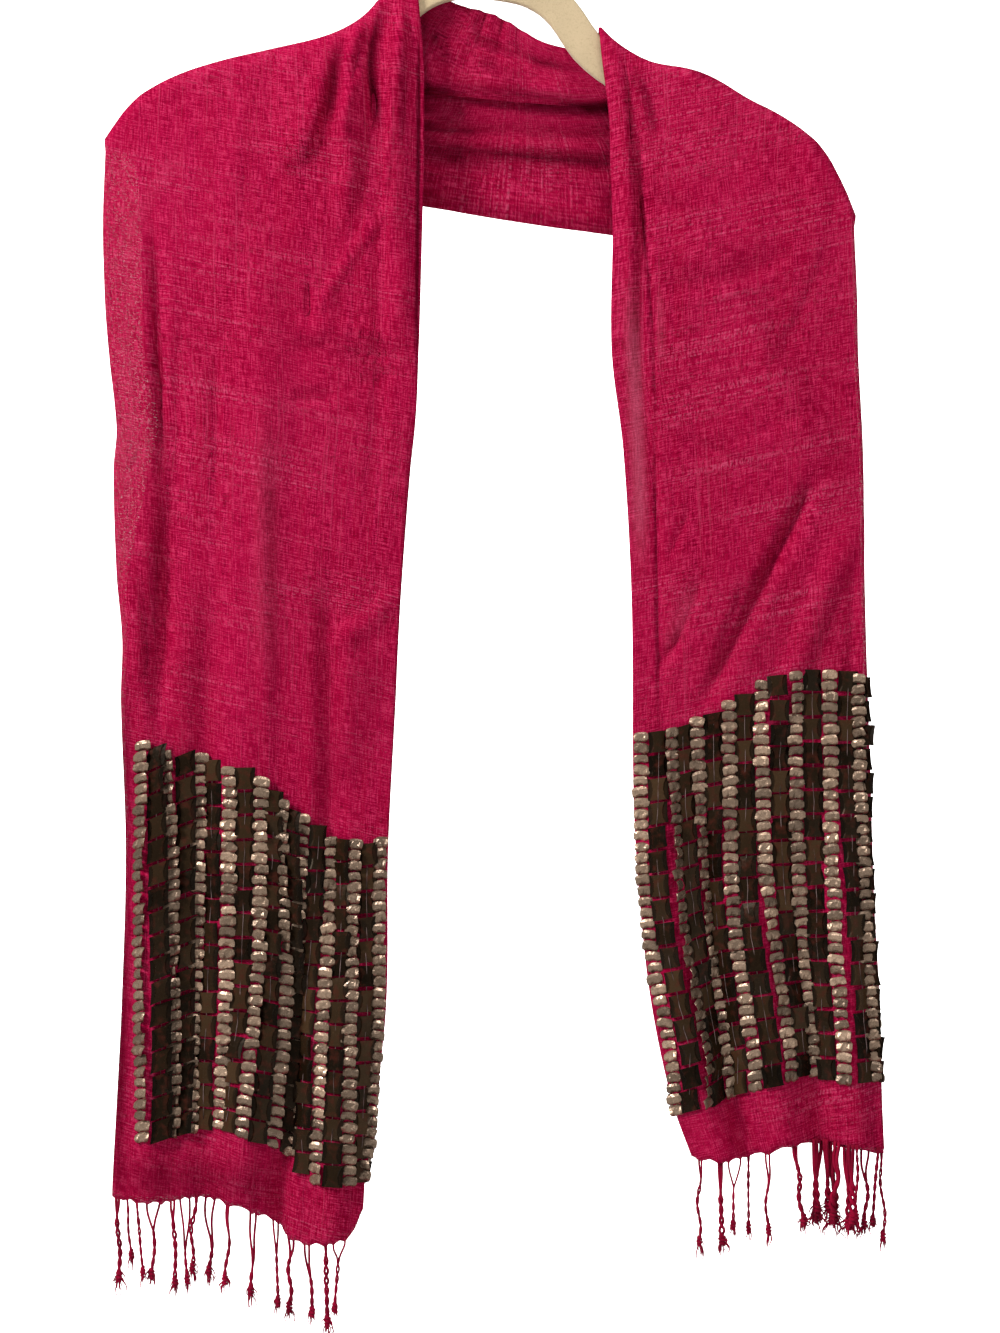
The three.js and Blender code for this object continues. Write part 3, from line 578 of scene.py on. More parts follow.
def crease_depth(rows, x, down):
    depth = np.zeros_like(down)
    for x0, down0, x1, down1, bend, left, right, deep in rows_of(rows, CREASE_COLUMNS):
        run, fall = x1 - x0, down1 - down0
        length = math.hypot(run, fall)
        along = ((x - x0) * run + (down - down0) * fall) / length**2
        bowed = bend * np.sin(math.pi * np.clip(along, 0, 1))
        beside = ((x - x0) * fall - (down - down0) * run) / length - bowed
        fade = ease(0, CREASE_FADE, along) * ease(0, CREASE_FADE, 1 - along)
        depth += deep * fade * bump(beside / np.where(beside < 0, left, right))
    return depth


def painted_cloth_light_and_shade(rows, points):
    """How much painted shade darkens the cloth at points, which are in metres: in folds, under laps and
    where the layers lie doubled. Below 0 it is how much painted light shines through a single layer.
    """
    return crease_depth(rows, points[..., 0] / MM, -points[..., 2] / MM)


def end_surface(end):
    """The middle surface of a hanging end, as a function of across and of the fall from the arm's top."""

    def surface(across, fallen):
        top_x, top_z = ridge(end, across)
        angle = np.minimum(fallen, QUARTER_TURN) / BEND
        z = top_z - BEND * (1 - np.cos(angle)) - np.maximum(0, fallen - QUARTER_TURN)
        settled = ease(0, SPREAD_OVER, fallen)
        inner, outer = edges_at(end, -z)
        x = mix(top_x, mix(inner, outer, across), settled)
        arm_end = QUARTER_TURN + ARM_DROP
        below_arm = ease(arm_end, arm_end + SWINGS_OVER, fallen)
        depth = fold_depth(end, across, -z) + crease_depth(end["creases"], x, -z)
        depth *= ease(0, FOLDS_START, fallen)
        depth = np.where(depth < 0, depth * below_arm, depth)
        bow = BOW * np.sin(math.pi * np.clip(across, 0, 1)) * settled
        return np.stack([x, -BEND * np.sin(angle) - bow - depth, z], -1)

    return surface


def fall_to(end, across, down):
    """The fall from the arm's top that reaches a height."""
    return QUARTER_TURN - BEND + down + ridge(end, across)[1]


def neck_surface(across, along):
    """The middle surface behind the hanger, from 0 on the left arm to 1 on the right one."""
    from_x, from_z = ridge(LEFT, across)
    to_x, to_z = ridge(RIGHT, across)
    from_arm = np.minimum(along, 1 - along)
    angle = math.pi / 2 * np.minimum(1, from_arm / BACK_TURN)
    turn = math.pi * np.clip((along - BACK_TURN) / (1 - 2 * BACK_TURN), 0, 1)
    crossed = (1 - np.cos(turn)) / 2
    lean = read(NECK["sag"], "across", "lean", across) * (2 * crossed - 1)
    sag = read(NECK["sag"], "across", "sag", across) - BEND
    middle = ease(*NECK["opens"], from_arm)
    pleat, gathers, folds = NECK["pleat"], NECK["gathers"], NECK["folds"]
    lap = (across - pleat["across"]) / pleat["half"]
    in_pleat = np.where(np.abs(lap) < 1, np.sin(math.pi * lap) * (1 - lap * lap), 0)
    lapped = pleat["step"] * ease(-pleat["lap"], pleat["lap"], lap)
    y = middle * (lapped + NECK["billow"] * across * np.sin(turn))
    for place, half, deep in rows_of(folds, "across half depth"):
        y = y + middle * deep * bump((across - place) / half)
    wave = (along - gathers["along"]) / gathers["half"]
    gathered = bump(across / gathers["across"]) * bump(wave)
    y = y + gathers["depth"] * gathered * (1 + np.sin(math.pi * gathers["waves"] * wave))
    x = mix(from_x, to_x, crossed)
    z = mix(from_z, to_z, crossed) - sag * np.sin(turn) * (1 + lean) - BEND * (1 - np.cos(angle))
    z = z + middle * pleat["rise"] * in_pleat + gathers["lift"] * gathered
    y = y - ease(*NECK["crease_opens"], from_arm) * crease_depth(NECK["creases"], x, -z)
    return np.stack([x, BEND * np.sin(angle) + np.maximum(0, y), z], -1)


def unit(vectors):
    return vectors / np.maximum(np.linalg.norm(vectors, axis=-1, keepdims=True), 1e-9)


def layer_frame(surface, across, along, lift, outwards, step_along):
    """A place `lift` from the middle surface, with its normal and the direction onwards."""
    step = 0.004
    sideways = surface(across + step, along) - surface(across - step, along)
    onwards = surface(across, along + step_along) - surface(across, along - step_along)
    normal = unit(np.cross(sideways, onwards)) * outwards
    return surface(across, along) + normal * np.asarray(lift)[..., None], normal, unit(onwards)


def folded_columns(face, under, nose):
    """Columns from the face layer's free edge, round the fold, to the under layer's free edge."""
    start = FOLD_NOSE / NOMINAL_WIDTH
    face_share = np.linspace(1, 0, face) ** 1.5
    under_share = np.linspace(0, 1, under) ** 1.3
    angles = np.linspace(math.pi / 2, 0, nose + 2)[1:]
    round_across, round_gap = start * (1 - np.cos(angles)), np.sin(angles)
    flat_face, flat_under = mix(start, 1, face_share), mix(start, 1, under_share)
    across = np.concatenate([flat_face, round_across, round_across[-2::-1], flat_under])
    gap = np.concatenate([np.ones(face), round_gap, -round_gap[-2::-1], -np.ones(under)])
    free = np.concatenate([face_share, np.zeros(2 * nose + 1), under_share])
    return across, gap, free


# ---------------------------------------------------------------- properties


class ScarfSizes(bpy.types.PropertyGroup):
    cloth: FloatProperty(
        name="Cloth", description="Thickness of one layer", default=0.0006, unit="LENGTH"
    )
    thread: FloatProperty(
        name="Thread", description="Radius of a fringe thread", default=0.0006, unit="LENGTH"
    )
    square: FloatProperty(
        name="Square", description="Width of a large sequin", default=0.0126, unit="LENGTH"
    )
    flake: FloatProperty(
        name="Flake", description="Width of a small sequin", default=0.0094, unit="LENGTH"
    )


class ScarfColours(bpy.types.PropertyGroup):
    cloth: FloatVectorProperty(
        name="Cloth", description="Dye of the yarn", default=(0.4, 0.0016, 0.034), subtype="COLOR"
    )
    bright: FloatVectorProperty(
        name="Bright",
        description="Yarn on top of the weave",
        default=(0.56, 0.006, 0.076),
        subtype="COLOR",
    )
    # The colour of painted light shining through a single layer.
    sheer: FloatVectorProperty(
        name="Sheer",
        description="A single layer with light behind it",
        default=(0.5, 0.1, 0.17),
        subtype="COLOR",
    )
    # Also the colour of the painted glints on the weave.
    slub: FloatVectorProperty(
        name="Slub",
        description="Thick, less dyed stretches of yarn",
        default=(0.85, 0.14, 0.28),
        subtype="COLOR",
    )
    square: FloatVectorProperty(
        name="Square", description="Large sequins", default=(0.03, 0.016, 0.0075), subtype="COLOR"
    )
    flake: FloatVectorProperty(
        name="Flake", description="Small sequins", default=(0.47, 0.32, 0.22), subtype="COLOR"
    )
    flock: FloatVectorProperty(
        name="Flock", description="The hanger's pile", default=(0.57, 0.44, 0.27), subtype="COLOR"
    )


# ---------------------------------------------------------------- small tools


def make_mesh(bm, name):
    mesh = bpy.data.meshes.new(name)
    bm.to_mesh(mesh)
    bm.free()
    return mesh


def add_piece(name, mesh, slot, *materials, replaces=()):
    mesh.shade_smooth()
    for material in materials:
        mesh.materials.append(material)
    piece = bpy.data.objects.new(name, mesh)
    bpy.context.scene.collection.objects.link(piece)
    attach(piece, "root")
    if replaces:
        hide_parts(*replaces)
    return piece


def grid_bmesh(points, uvs=None, wrap=False):
    """A grid laid over rows and columns of points, in metres; `wrap` joins its last column to its first."""
    rows, columns = points.shape[:2]
    bm = bmesh.new()
    bmesh.ops.create_grid(bm, x_segments=columns - 1, y_segments=rows - 1, size=1)
    places = []
    for vert in bm.verts:
        column, row = (vert.co.x + 1) / 2 * (columns - 1), (vert.co.y + 1) / 2 * (rows - 1)
        places.append((round(row), round(column)))
    if uvs is not None:
        layer = bm.loops.layers.uv.new("UVMap")
        for face in bm.faces:
            for loop in face.loops:
                loop[layer].uv = uvs[places[loop.vert.index]]
    for vert, place in zip(bm.verts, places):
        vert.co = points[place]
    if wrap:
        bmesh.ops.remove_doubles(bm, verts=bm.verts, dist=1e-6)
    return bm


def close_ends(bm):
    """Fills the open ends of a tube."""
    bmesh.ops.holes_fill(bm, edges=[edge for edge in bm.edges if edge.is_boundary])
    bmesh.ops.recalc_face_normals(bm, faces=bm.faces)


def joined_copies(name, template, placed):
    """One mesh of many copies of a template; `placed` holds each copy's points, in metres."""
    count, size = len(placed), len(template.vertices)
    faces = [tuple(face.vertices) for face in template.polygons]
    slots = [face.material_index for face in template.polygons]
    all_faces = [tuple(i + k * size for i in face) for k in range(count) for face in faces]
    mesh = bpy.data.meshes.new(name)
    mesh.from_pydata(np.concatenate(placed).tolist(), [], all_faces)
    mesh.polygons.foreach_set("material_index", slots * count)
    return mesh


def mark_points(mesh, name, values):
    """Stores one number for each point, for a material to read."""
    marks = mesh.attributes.new(name, "FLOAT", "POINT")
    marks.data.foreach_set("value", np.asarray(values, np.float32).ravel())


def points_of(mesh):
    points = np.empty(len(mesh.vertices) * 3)
    mesh.vertices.foreach_get("co", points)
    return points.reshape(-1, 3)


# ---------------------------------------------------------------- materials


class Nodes:
    """Short ways to add and link the nodes of one material."""

    def __init__(self, name):
        self.material = bpy.data.materials.new(name)
        self.material.use_nodes = True
        self.tree = self.material.node_tree
        self.shader = self.tree.nodes["Principled BSDF"]
        self.output = self.tree.nodes["Material Output"]

    def add(self, kind, **settings):
        node = self.tree.nodes.new(kind)
        for key, value in settings.items():
            if hasattr(node, key):
                setattr(node, key, value)
            else:
                self.put(node.inputs[key.replace("_", " ")], value)
        return node

    def place(self):
        return self.add("ShaderNodeTexCoord").outputs["Object"]

    def mark(self, name):
        """A number stored on the mesh's points."""
        return self.add("ShaderNodeAttribute", attribute_name=name).outputs["Fac"]

    def put(self, socket, value):
        if isinstance(value, bpy.types.NodeSocket):
            self.tree.links.new(value, socket)
        else:
            socket.default_value = value

    def math(self, operation, a, b=0.0, c=0.0):
        node = self.add("ShaderNodeMath", operation=operation)
        for socket, value in zip(node.inputs, (a, b, c)):
            self.put(socket, value)
        return node.outputs[0]

    def stretched(self, vector, scale):
        node = self.add("ShaderNodeMapping")
        self.put(node.inputs["Vector"], vector)
        self.put(node.inputs["Scale"], scale)
        return node.outputs[0]

    def turned(self, vector, angle, scale):
        """The vector turned in its plane, then stretched."""
        node = self.add("ShaderNodeMapping")
        self.put(node.inputs["Vector"], vector)
        self.put(node.inputs["Rotation"], (0, 0, angle))
        return self.stretched(node.outputs[0], scale)

    def noise(self, vector, scale=1.0, detail=2.0, roughness=0.5, distortion=0.0):
        node = self.add("ShaderNodeTexNoise", noise_dimensions="3D")
        for key, value in (
            ("Vector", vector),
            ("Scale", scale),
            ("Detail", detail),
            ("Roughness", roughness),
            ("Distortion", distortion),
        ):
            self.put(node.inputs[key], value)
        return node.outputs["Fac"]

    def span(self, value, low, high, to_low=0.0, to_high=1.0):
        node = self.add("ShaderNodeMapRange", clamp=True)
        for socket, number in zip(node.inputs, (value, low, high, to_low, to_high)):
            self.put(socket, number)
        return node.outputs[0]

    def blend(self, share, a, b, mode="MIX"):
        node = self.add("ShaderNodeMix", data_type="RGBA", blend_type=mode)
        self.put(node.inputs[0], share)
        self.put(node.inputs[6], a)
        self.put(node.inputs[7], b)
        return node.outputs[2]

    def layered(self, share, first, second):
        """One shader mixed into another."""
        node = self.add("ShaderNodeMixShader")
        for socket, value in zip(node.inputs, (share, first, second)):
            self.put(socket, value)
        return node.outputs[0]

    def bumps(self, height, strength, distance, normal=None):
        node = self.add("ShaderNodeBump")
        self.put(node.inputs["Height"], height)
        self.put(node.inputs["Strength"], strength)
        self.put(node.inputs["Distance"], distance)
        if normal is not None:
            self.put(node.inputs["Normal"], normal)
        return node.outputs[0]

    def set(self, **values):
        for key, value in values.items():
            self.put(self.shader.inputs[key.replace("_", " ")], value)


def rgba(colour, factor=1.0):
    return (colour[0] * factor, colour[1] * factor, colour[2] * factor, 1.0)


def cloth_material(colours):
    n = Nodes("slub_weave")
    uv = n.add("ShaderNodeUVMap", uv_map="UVMap").outputs[0]
    shade = n.mark("shade")
    twill = n.noise(n.turned(uv, 0.42, (560, 1500, 1)), detail=2, roughness=0.6)
    cross = n.noise(n.turned(uv, -0.2, (560, 1500, 1)), detail=2)
    warp = n.noise(n.stretched(uv, (560, 6, 1)), detail=2)
    rows = n.noise(n.stretched(uv, (5, 700, 1)), detail=2)
    bundles = n.noise(n.stretched(uv, (9, 34, 1)), detail=3)
    dots = n.noise(n.stretched(uv, (820, 300, 1)), detail=0)
    warp_slub = n.span(n.noise(n.stretched(uv, (620, 9, 1)), detail=1), 0.62, 0.72)
    tone = n.noise(n.stretched(uv, (16, 7, 1)), detail=3)
    warp_threads = n.noise(n.stretched(uv, (1500, 110, 1)), detail=0)
    weft_threads = n.noise(n.stretched(uv, (110, 1500, 1)), detail=0)
    threads = n.math("MULTIPLY", n.math("ADD", warp_threads, weft_threads), 0.31)
    weave = n.math("ADD", threads, n.math("MULTIPLY", twill, 0.38))
    weft_slub = n.math("MULTIPLY", n.span(rows, 0.49, 0.62), n.span(bundles, 0.44, 0.62))
    dotted = n.math("MULTIPLY", weft_slub, n.span(dots, 0.42, 0.6))
    slub = n.math("MAXIMUM", dotted, n.math("MULTIPLY", warp_slub, 0.3))
    woven = n.blend(n.span(weave, 0.38, 0.62), rgba(colours.cloth, 0.45), rgba(colours.bright, 1.02))
    streaked = n.blend(n.span(warp, 0.38, 0.62, 0.0, 0.45), woven, rgba(colours.cloth, 0.95))
    clouded = n.blend(n.span(tone, 0.35, 0.65, 0.0, 0.3), streaked, rgba(colours.bright, 0.95))
    # Painted glints: pale flecks of the slub colour where the weave stands highest, as highlights on the
    # yarn.
    with_painted_glints = n.blend(n.span(weave, 0.5, 0.62, 0.0, 0.18), clouded, rgba(colours.slub, 0.9))
    slubbed = n.blend(n.math("MULTIPLY", slub, 0.34), with_painted_glints, rgba(colours.slub))
    # Painted shade and light: the shade mark darkens the cloth in folds, under laps and where the layers lie
    # doubled, and below 0 blends in the sheer colour as painted light shining through a single layer.
    shaded = n.blend(n.span(shade, 0.0, 1.0), slubbed, rgba(colours.cloth, 0.12))
    painted_light_through = n.math("MULTIPLY", n.span(shade, 0.0, -1.0), n.span(weave, 0.35, 0.6, 0.45, 1.0))
    colour = n.blend(painted_light_through, shaded, rgba(colours.sheer))
    height = n.math("ADD", weave, n.math("MULTIPLY", slub, 0.5))
    fine = n.bumps(height, 0.5, 0.0008)
    wrinkles = n.noise(n.stretched(uv, (60, 14, 1)), detail=3, distortion=0.6)
    normal = n.bumps(wrinkles, 0.4, 0.003, fine)
    n.set(Base_Color=colour, Roughness=0.9, Normal=normal)
    n.set(Specular_IOR_Level=0.02, Specular_Tint=(1, 0.3, 0.4, 1))
    through = n.add("ShaderNodeBsdfTranslucent")
    n.put(through.inputs["Color"], rgba(colours.cloth, 1.8))
    n.put(through.inputs["Normal"], normal)
    body = n.layered(0.12, n.shader.outputs[0], through.outputs[0])
    clear = n.add("ShaderNodeBsdfTransparent").outputs[0]
    open_weave = n.layered(n.span(cross, 0.36, 0.5, 0.22, 0.0), body, clear)
    n.put(n.output.inputs["Surface"], open_weave)
    return n.material


def thread_material(colours):
    n = Nodes("twisted_thread")
    place = n.place()
    fibres = n.noise(n.stretched(place, (2600, 2600, 900)), detail=2)
    tone = n.noise(n.stretched(place, (160, 160, 60)), detail=2)
    base = n.blend(n.span(tone, 0.3, 0.7), rgba(colours.cloth, 0.34), rgba(colours.cloth, 0.85))
    colour = n.blend(n.span(fibres, 0.5, 0.75, 0.0, 0.3), base, rgba(colours.bright))
    n.set(Base_Color=colour, Roughness=0.85, Specular_IOR_Level=0.1)
    n.set(Sheen_Weight=0.15, Sheen_Tint=(1.0, 0.15, 0.3, 1), Normal=n.bumps(fibres, 0.4, 0.0004))
    return n.material


def stitch_material():
    n = Nodes("stitching_thread")
    place = n.place()
    worn = n.noise(n.stretched(place, (400, 400, 120)), detail=2)
    colour = n.blend(n.span(worn, 0.35, 0.65), (0.03, 0.02, 0.018, 1), (0.27, 0.18, 0.17, 1))
    n.set(Base_Color=colour, Roughness=0.6, Specular_IOR_Level=0.2)
    n.set(Normal=n.bumps(worn, 0.3, 0.0003))
    return n.material


def square_material(colours):
    n = Nodes("brown_sequin")
    shade = n.mark("shade")
    flank = n.mark("flank")
    place = n.place()
    clouds = n.noise(place, scale=190, detail=2)
    # Painted shade and random tone: the shade mark makes sequins that face sideways darker, and varies the
    # rest at random.
    brown = n.blend(shade, rgba(colours.square, 0.2), rgba(colours.square, 1.9))
    rust = n.blend(n.span(clouds, 0.5, 0.72, 0.0, 0.55), brown, (0.07, 0.014, 0.009, 1))
    # Painted dark reflection: the curled flanks are coloured near black.
    colour = n.blend(n.span(flank, 0.0, 1.0, 0.0, 0.85), rust, (0.0016, 0.0012, 0.001, 1))
    scuffs = n.noise(place, scale=900, detail=2)
    rough = n.math("ADD", n.span(scuffs, 0.3, 0.8, 0.16, 0.34), n.math("MULTIPLY", flank, 0.12))
    n.set(Base_Color=colour, Roughness=rough, Normal=n.bumps(clouds, 0.08, 0.001))
    n.set(Specular_IOR_Level=0.14, Specular_Tint=(1.0, 0.8, 0.6, 1))
    return n.material


def flake_material(colours):
    n = Nodes("champagne_sequin")
    shade = n.mark("shade")
    lower = n.mark("lower")
    place = n.place()
    clouds = n.noise(place, scale=420, detail=2)
    # Painted shade and random tone: the shade mark makes flakes that face sideways darker, and varies the
    # rest at random.
    tone = n.blend(shade, rgba(colours.flake, 0.32), rgba(colours.flake, 1.2))
    mottled = n.blend(n.span(clouds, 0.45, 0.7, 0.0, 0.6), tone, rgba(colours.flake, 0.45))
    # Painted shade: the lip that turns under is coloured a dark copper.
    colour = n.blend(n.span(lower, 0.1, 0.9, 0.0, 0.9), mottled, (0.14, 0.035, 0.024, 1))
    n.set(Base_Color=colour, Metallic=0.5, Roughness=n.span(clouds, 0.3, 0.7, 0.2, 0.4))
    n.set(Specular_IOR_Level=0.3, Normal=n.bumps(clouds, 0.4, 0.0012))
    return n.material


def flock_material(colours):
    n = Nodes("beige_flock")
    place = n.place()
    pile = n.noise(place, scale=2200, detail=2)
    specks = n.noise(place, scale=900, detail=3, roughness=0.7)
    worn = n.noise(place, scale=35, detail=2)
    base = n.blend(n.span(worn, 0.3, 0.7), rgba(colours.flock, 0.9), rgba(colours.flock, 1.08))
    colour = n.blend(n.span(specks, 0.5, 0.72, 0.0, 0.45), base, (0.36, 0.26, 0.15, 1))
    n.set(Base_Color=colour, Roughness=0.95, Specular_IOR_Level=0.1, Sheen_Weight=0.3)
    n.set(Normal=n.bumps(pile, 0.5, 0.0005))
    return n.material


def wire_material():
    n = Nodes("polished_wire")
    place = n.place()
    rubbed = n.noise(n.stretched(place, (300, 300, 90)), detail=3)
    n.set(Base_Color=(0.74, 0.74, 0.76, 1), Metallic=1.0)
    n.set(Roughness=n.span(rubbed, 0.3, 0.7, 0.12, 0.28), Normal=n.bumps(rubbed, 0.03, 0.0005))
    return n.material


def paper_material():
    n = Nodes("white_paper")
    place = n.place()
    tooth = n.noise(place, scale=60, detail=3)
    colour = n.blend(n.span(tooth, 0.3, 0.7), (0.93, 0.93, 0.93, 1), (0.95, 0.95, 0.95, 1))
    n.set(Base_Color=colour, Roughness=0.9, Specular_IOR_Level=0.1)
    return n.material


# ---------------------------------------------------------------- the pieces


def hem_level(end, across, layer, free):
    """How far down the hem is, with a point at every tassel of that layer and an arc in between."""
    hem = read(end["levels"], "across", "hem", across)
    hem = hem + np.where(layer < 0, end["hem_shift"] * free, 0)
    x = mix(*edges_at(end, hem), across)
    middle, half = end["tassels"]["x"], end["tassels"]["apart"] / 2
    roots = np.concatenate([middle - half, middle + half])
    nearest = np.min(np.abs(x[..., None] - roots), axis=-1)
    return hem + HEM_POINT * (np.exp(-nearest / HEM_POINT_WIDTH) - HEM_RISE)


def end_grid(end, columns, count):
    """Points and cloth coordinates of an end, one row for each step from the arm to the hem."""
    across, gap, free = (np.broadcast_to(x, (count, len(x))) for x in columns)
    share = np.linspace(0, 1, count)[:, None]
    fallen = share * fall_to(end, across, hem_level(end, across, gap, free))
    surface = end_surface(end)
    down = -surface(across, fallen)[..., 2]
    face, under = (read(end["layers"], "down", name, down) for name in ("face", "under"))
    across = across * mix(1, np.where(gap > 0, face, under), free)
    points, _, _ = layer_frame(surface, across, fallen, gap * LAYER_PITCH / 2, -end["side"], 0.05)
    width = np.abs(end["edges"]["outer"][2] - end["edges"]["inner"][2])
    u = -across * width * np.where(gap > 0, 1, -1)
    v = down + WEFT_CLIMB * across * width
    return points * MM, np.stack([u, v * -end["side"]], -1) * MM


def neck_grid(columns, count):
    """Points and cloth coordinates of the neck stretch, from the left arm to the right one."""
    across, gap, _ = columns
    along = np.linspace(0, 1, count + 2)[1:-1, None]
    along = np.broadcast_to(along, (count, len(across)))
    across, gap = (np.broadcast_to(x, along.shape) for x in (across, gap))
    points, _, _ = layer_frame(neck_surface, across, along, gap * LAYER_PITCH / 2, -1, 0.0005)
    u = -across * NECK_WIDTH * np.where(gap > 0, 1, -1)
    v = mix(NECK_HALF, -NECK_HALF, along) + WEFT_CLIMB * across * NECK_WIDTH * (1 - 2 * along)
    return points * MM, np.stack([u, v], -1) * MM


class SCARF_OT_cloth(bpy.types.Operator):
    """Makes the cloth: one sheet round the fold, from the left hem over both arms to the right hem"""

    bl_idname = "scarf.cloth"
    bl_label = "Cloth"

    def execute(self, context):
        columns = folded_columns(CLOTH_GRID["face"], CLOTH_GRID["under"], CLOTH_GRID["nose"])
        left, left_uv = end_grid(LEFT, columns, CLOTH_GRID["left"])
        neck, neck_uv = neck_grid(columns, CLOTH_GRID["neck"])
        right, right_uv = end_grid(RIGHT, columns, CLOTH_GRID["right"])
        points = np.concatenate([left[::-1], neck, right])
        uvs = np.concatenate([left_uv[::-1], neck_uv, right_uv])
        placed = ((LEFT, left[::-1]), (NECK, neck), (RIGHT, right))
        painted_shade_and_light = [painted_cloth_light_and_shade(part["painted_shade_and_light"], place) for part, place in placed]
        bm = grid_bmesh(points, uvs)
        bmesh.ops.reverse_faces(bm, faces=bm.faces)
        mesh = make_mesh(bm, "scarf_cloth")
        mark_points(mesh, "shade", np.concatenate(painted_shade_and_light))
        cloth = add_piece(
            "scarf_cloth",
            mesh,
            "cloth",
            cloth_material(context.scene.scarf_colours),
            replaces=("left_end", "neck_stretch", "right_end"),
        )
        wall = cloth.modifiers.new("thickness", "SOLIDIFY")
        wall.thickness = context.scene.scarf_sizes.cloth
        wall.offset = 0
        return {"FINISHED"}


def sequin_places(end, column, layer, pitch, shift):
    """Places down one column of sequins: point, normal and downward direction of each."""
    inner, outer = edges_at(end, column["down"][1])
    start = (column["x"][1] - inner) / (outer - inner)
    top = read(end["levels"], "across", "top", start) + shift
    bottom = read(end["levels"], "across", "bottom", start)
    count = max(1, round((bottom - top) / pitch))
    down = top + (bottom - top) * (np.arange(count) + 0.5) / count
    inner, outer = edges_at(end, down)
    across = np.clip((read(column, "down", "x", down) - inner) / (outer - inner), 0.006, 1)
    fallen = fall_to(end, across, down)
    lift = layer * (LAYER_PITCH / 2 + CLOTH / 2)
    return layer_frame(end_surface(end), across, fallen, lift, -end["side"], 0.5)


def placed_copies(template, frames, lift, tilts, scales, skew, layer):
    """A template set down at each place: its x across, its y up the column, its z off the cloth."""
    copies = []
    half = template[:, 0].max() / MM
    for place, normal, down, (pitch, roll, yaw), scale in zip(*frames, tilts, scales):
        z = Vector(normal * layer)
        x = Vector(-down).cross(z).normalized()
        turned = np.array([x, z.cross(x), z])
        c, s = math.cos(yaw), math.sin(yaw)
        spin = np.array([[c, s, 0], [-s, c, 0], [0, 0, 1]])
        c, s = math.cos(pitch), math.sin(pitch)
        nod = np.array([[1, 0, 0], [0, c, s], [0, -s, c]])
        c, s = math.cos(roll), math.sin(roll)
        rock = np.array([[c, 0, -s], [0, 1, 0], [s, 0, c]])
        climb = np.array([[1, skew, 0], [0, 1, 0], [0, 0, 1]])
        clear = lift if abs(s) > DROOPS else lift + half * abs(s) * ROCK_LIFT
        placed = template * scale @ climb @ nod @ rock @ spin @ turned
        copies.append(placed + (place + normal * layer * clear) * MM)
    return copies


def plate_template(name, columns, rows, shape, thickness):
    """A small sequin: a grid over -1 to 1, mapped by `shape` to millimetres, with a wall."""
    bm = bmesh.new()
    bmesh.ops.create_grid(bm, x_segments=columns, y_segments=rows, size=1)
    for vert in bm.verts:
        vert.co = Vector(shape(vert.co.x, vert.co.y)) * MM
    bmesh.ops.solidify(bm, geom=bm.faces[:], thickness=thickness * MM)
    bmesh.ops.recalc_face_normals(bm, faces=bm.faces)
    return make_mesh(bm, name)


def table_edge(v):
    """Half the width of a large sequin's raised table, which is waisted."""
    return 0.46 + 0.26 * v * v


def square_shape(width):
    """A large sequin: four corners, pinched sides, and a waisted table that stands over two flanks."""

    def shape(u, v):
        side = -1 if u < 0 else 1
        ring = round(abs(u) * 3)
        edge = table_edge(v)
        across = (0, edge, edge + SQUARE["flank"], 1)[ring]
        pinch = 1 - SQUARE["pinch"] * (1 - v * v) * across
        z = SQUARE_HEIGHTS[ring] - SQUARE["dish"] * v * v
        return (side * across * pinch * width / 2, v * width / 2, z)

    return shape


def flake_shape(width):
    """A small sequin: a rounded face, a lower lip that turns under, and a notch in the middle of it."""

    def shape(u, v):
        row = round((v + 1) * 2)
        place, height, narrowed = FLAKE_ROWS[row]
        notch = 1 if abs(u) < 0.3 and row < 3 else 0
        y = place + FLAKE["notch_rise"] * notch
        z = height - 0.45 * abs(u) ** 3 - FLAKE["notch"] * notch
        return (u * (1 - narrowed) * width / 2, y * (1 - 0.14 * abs(u) ** 3), z)

    return shape


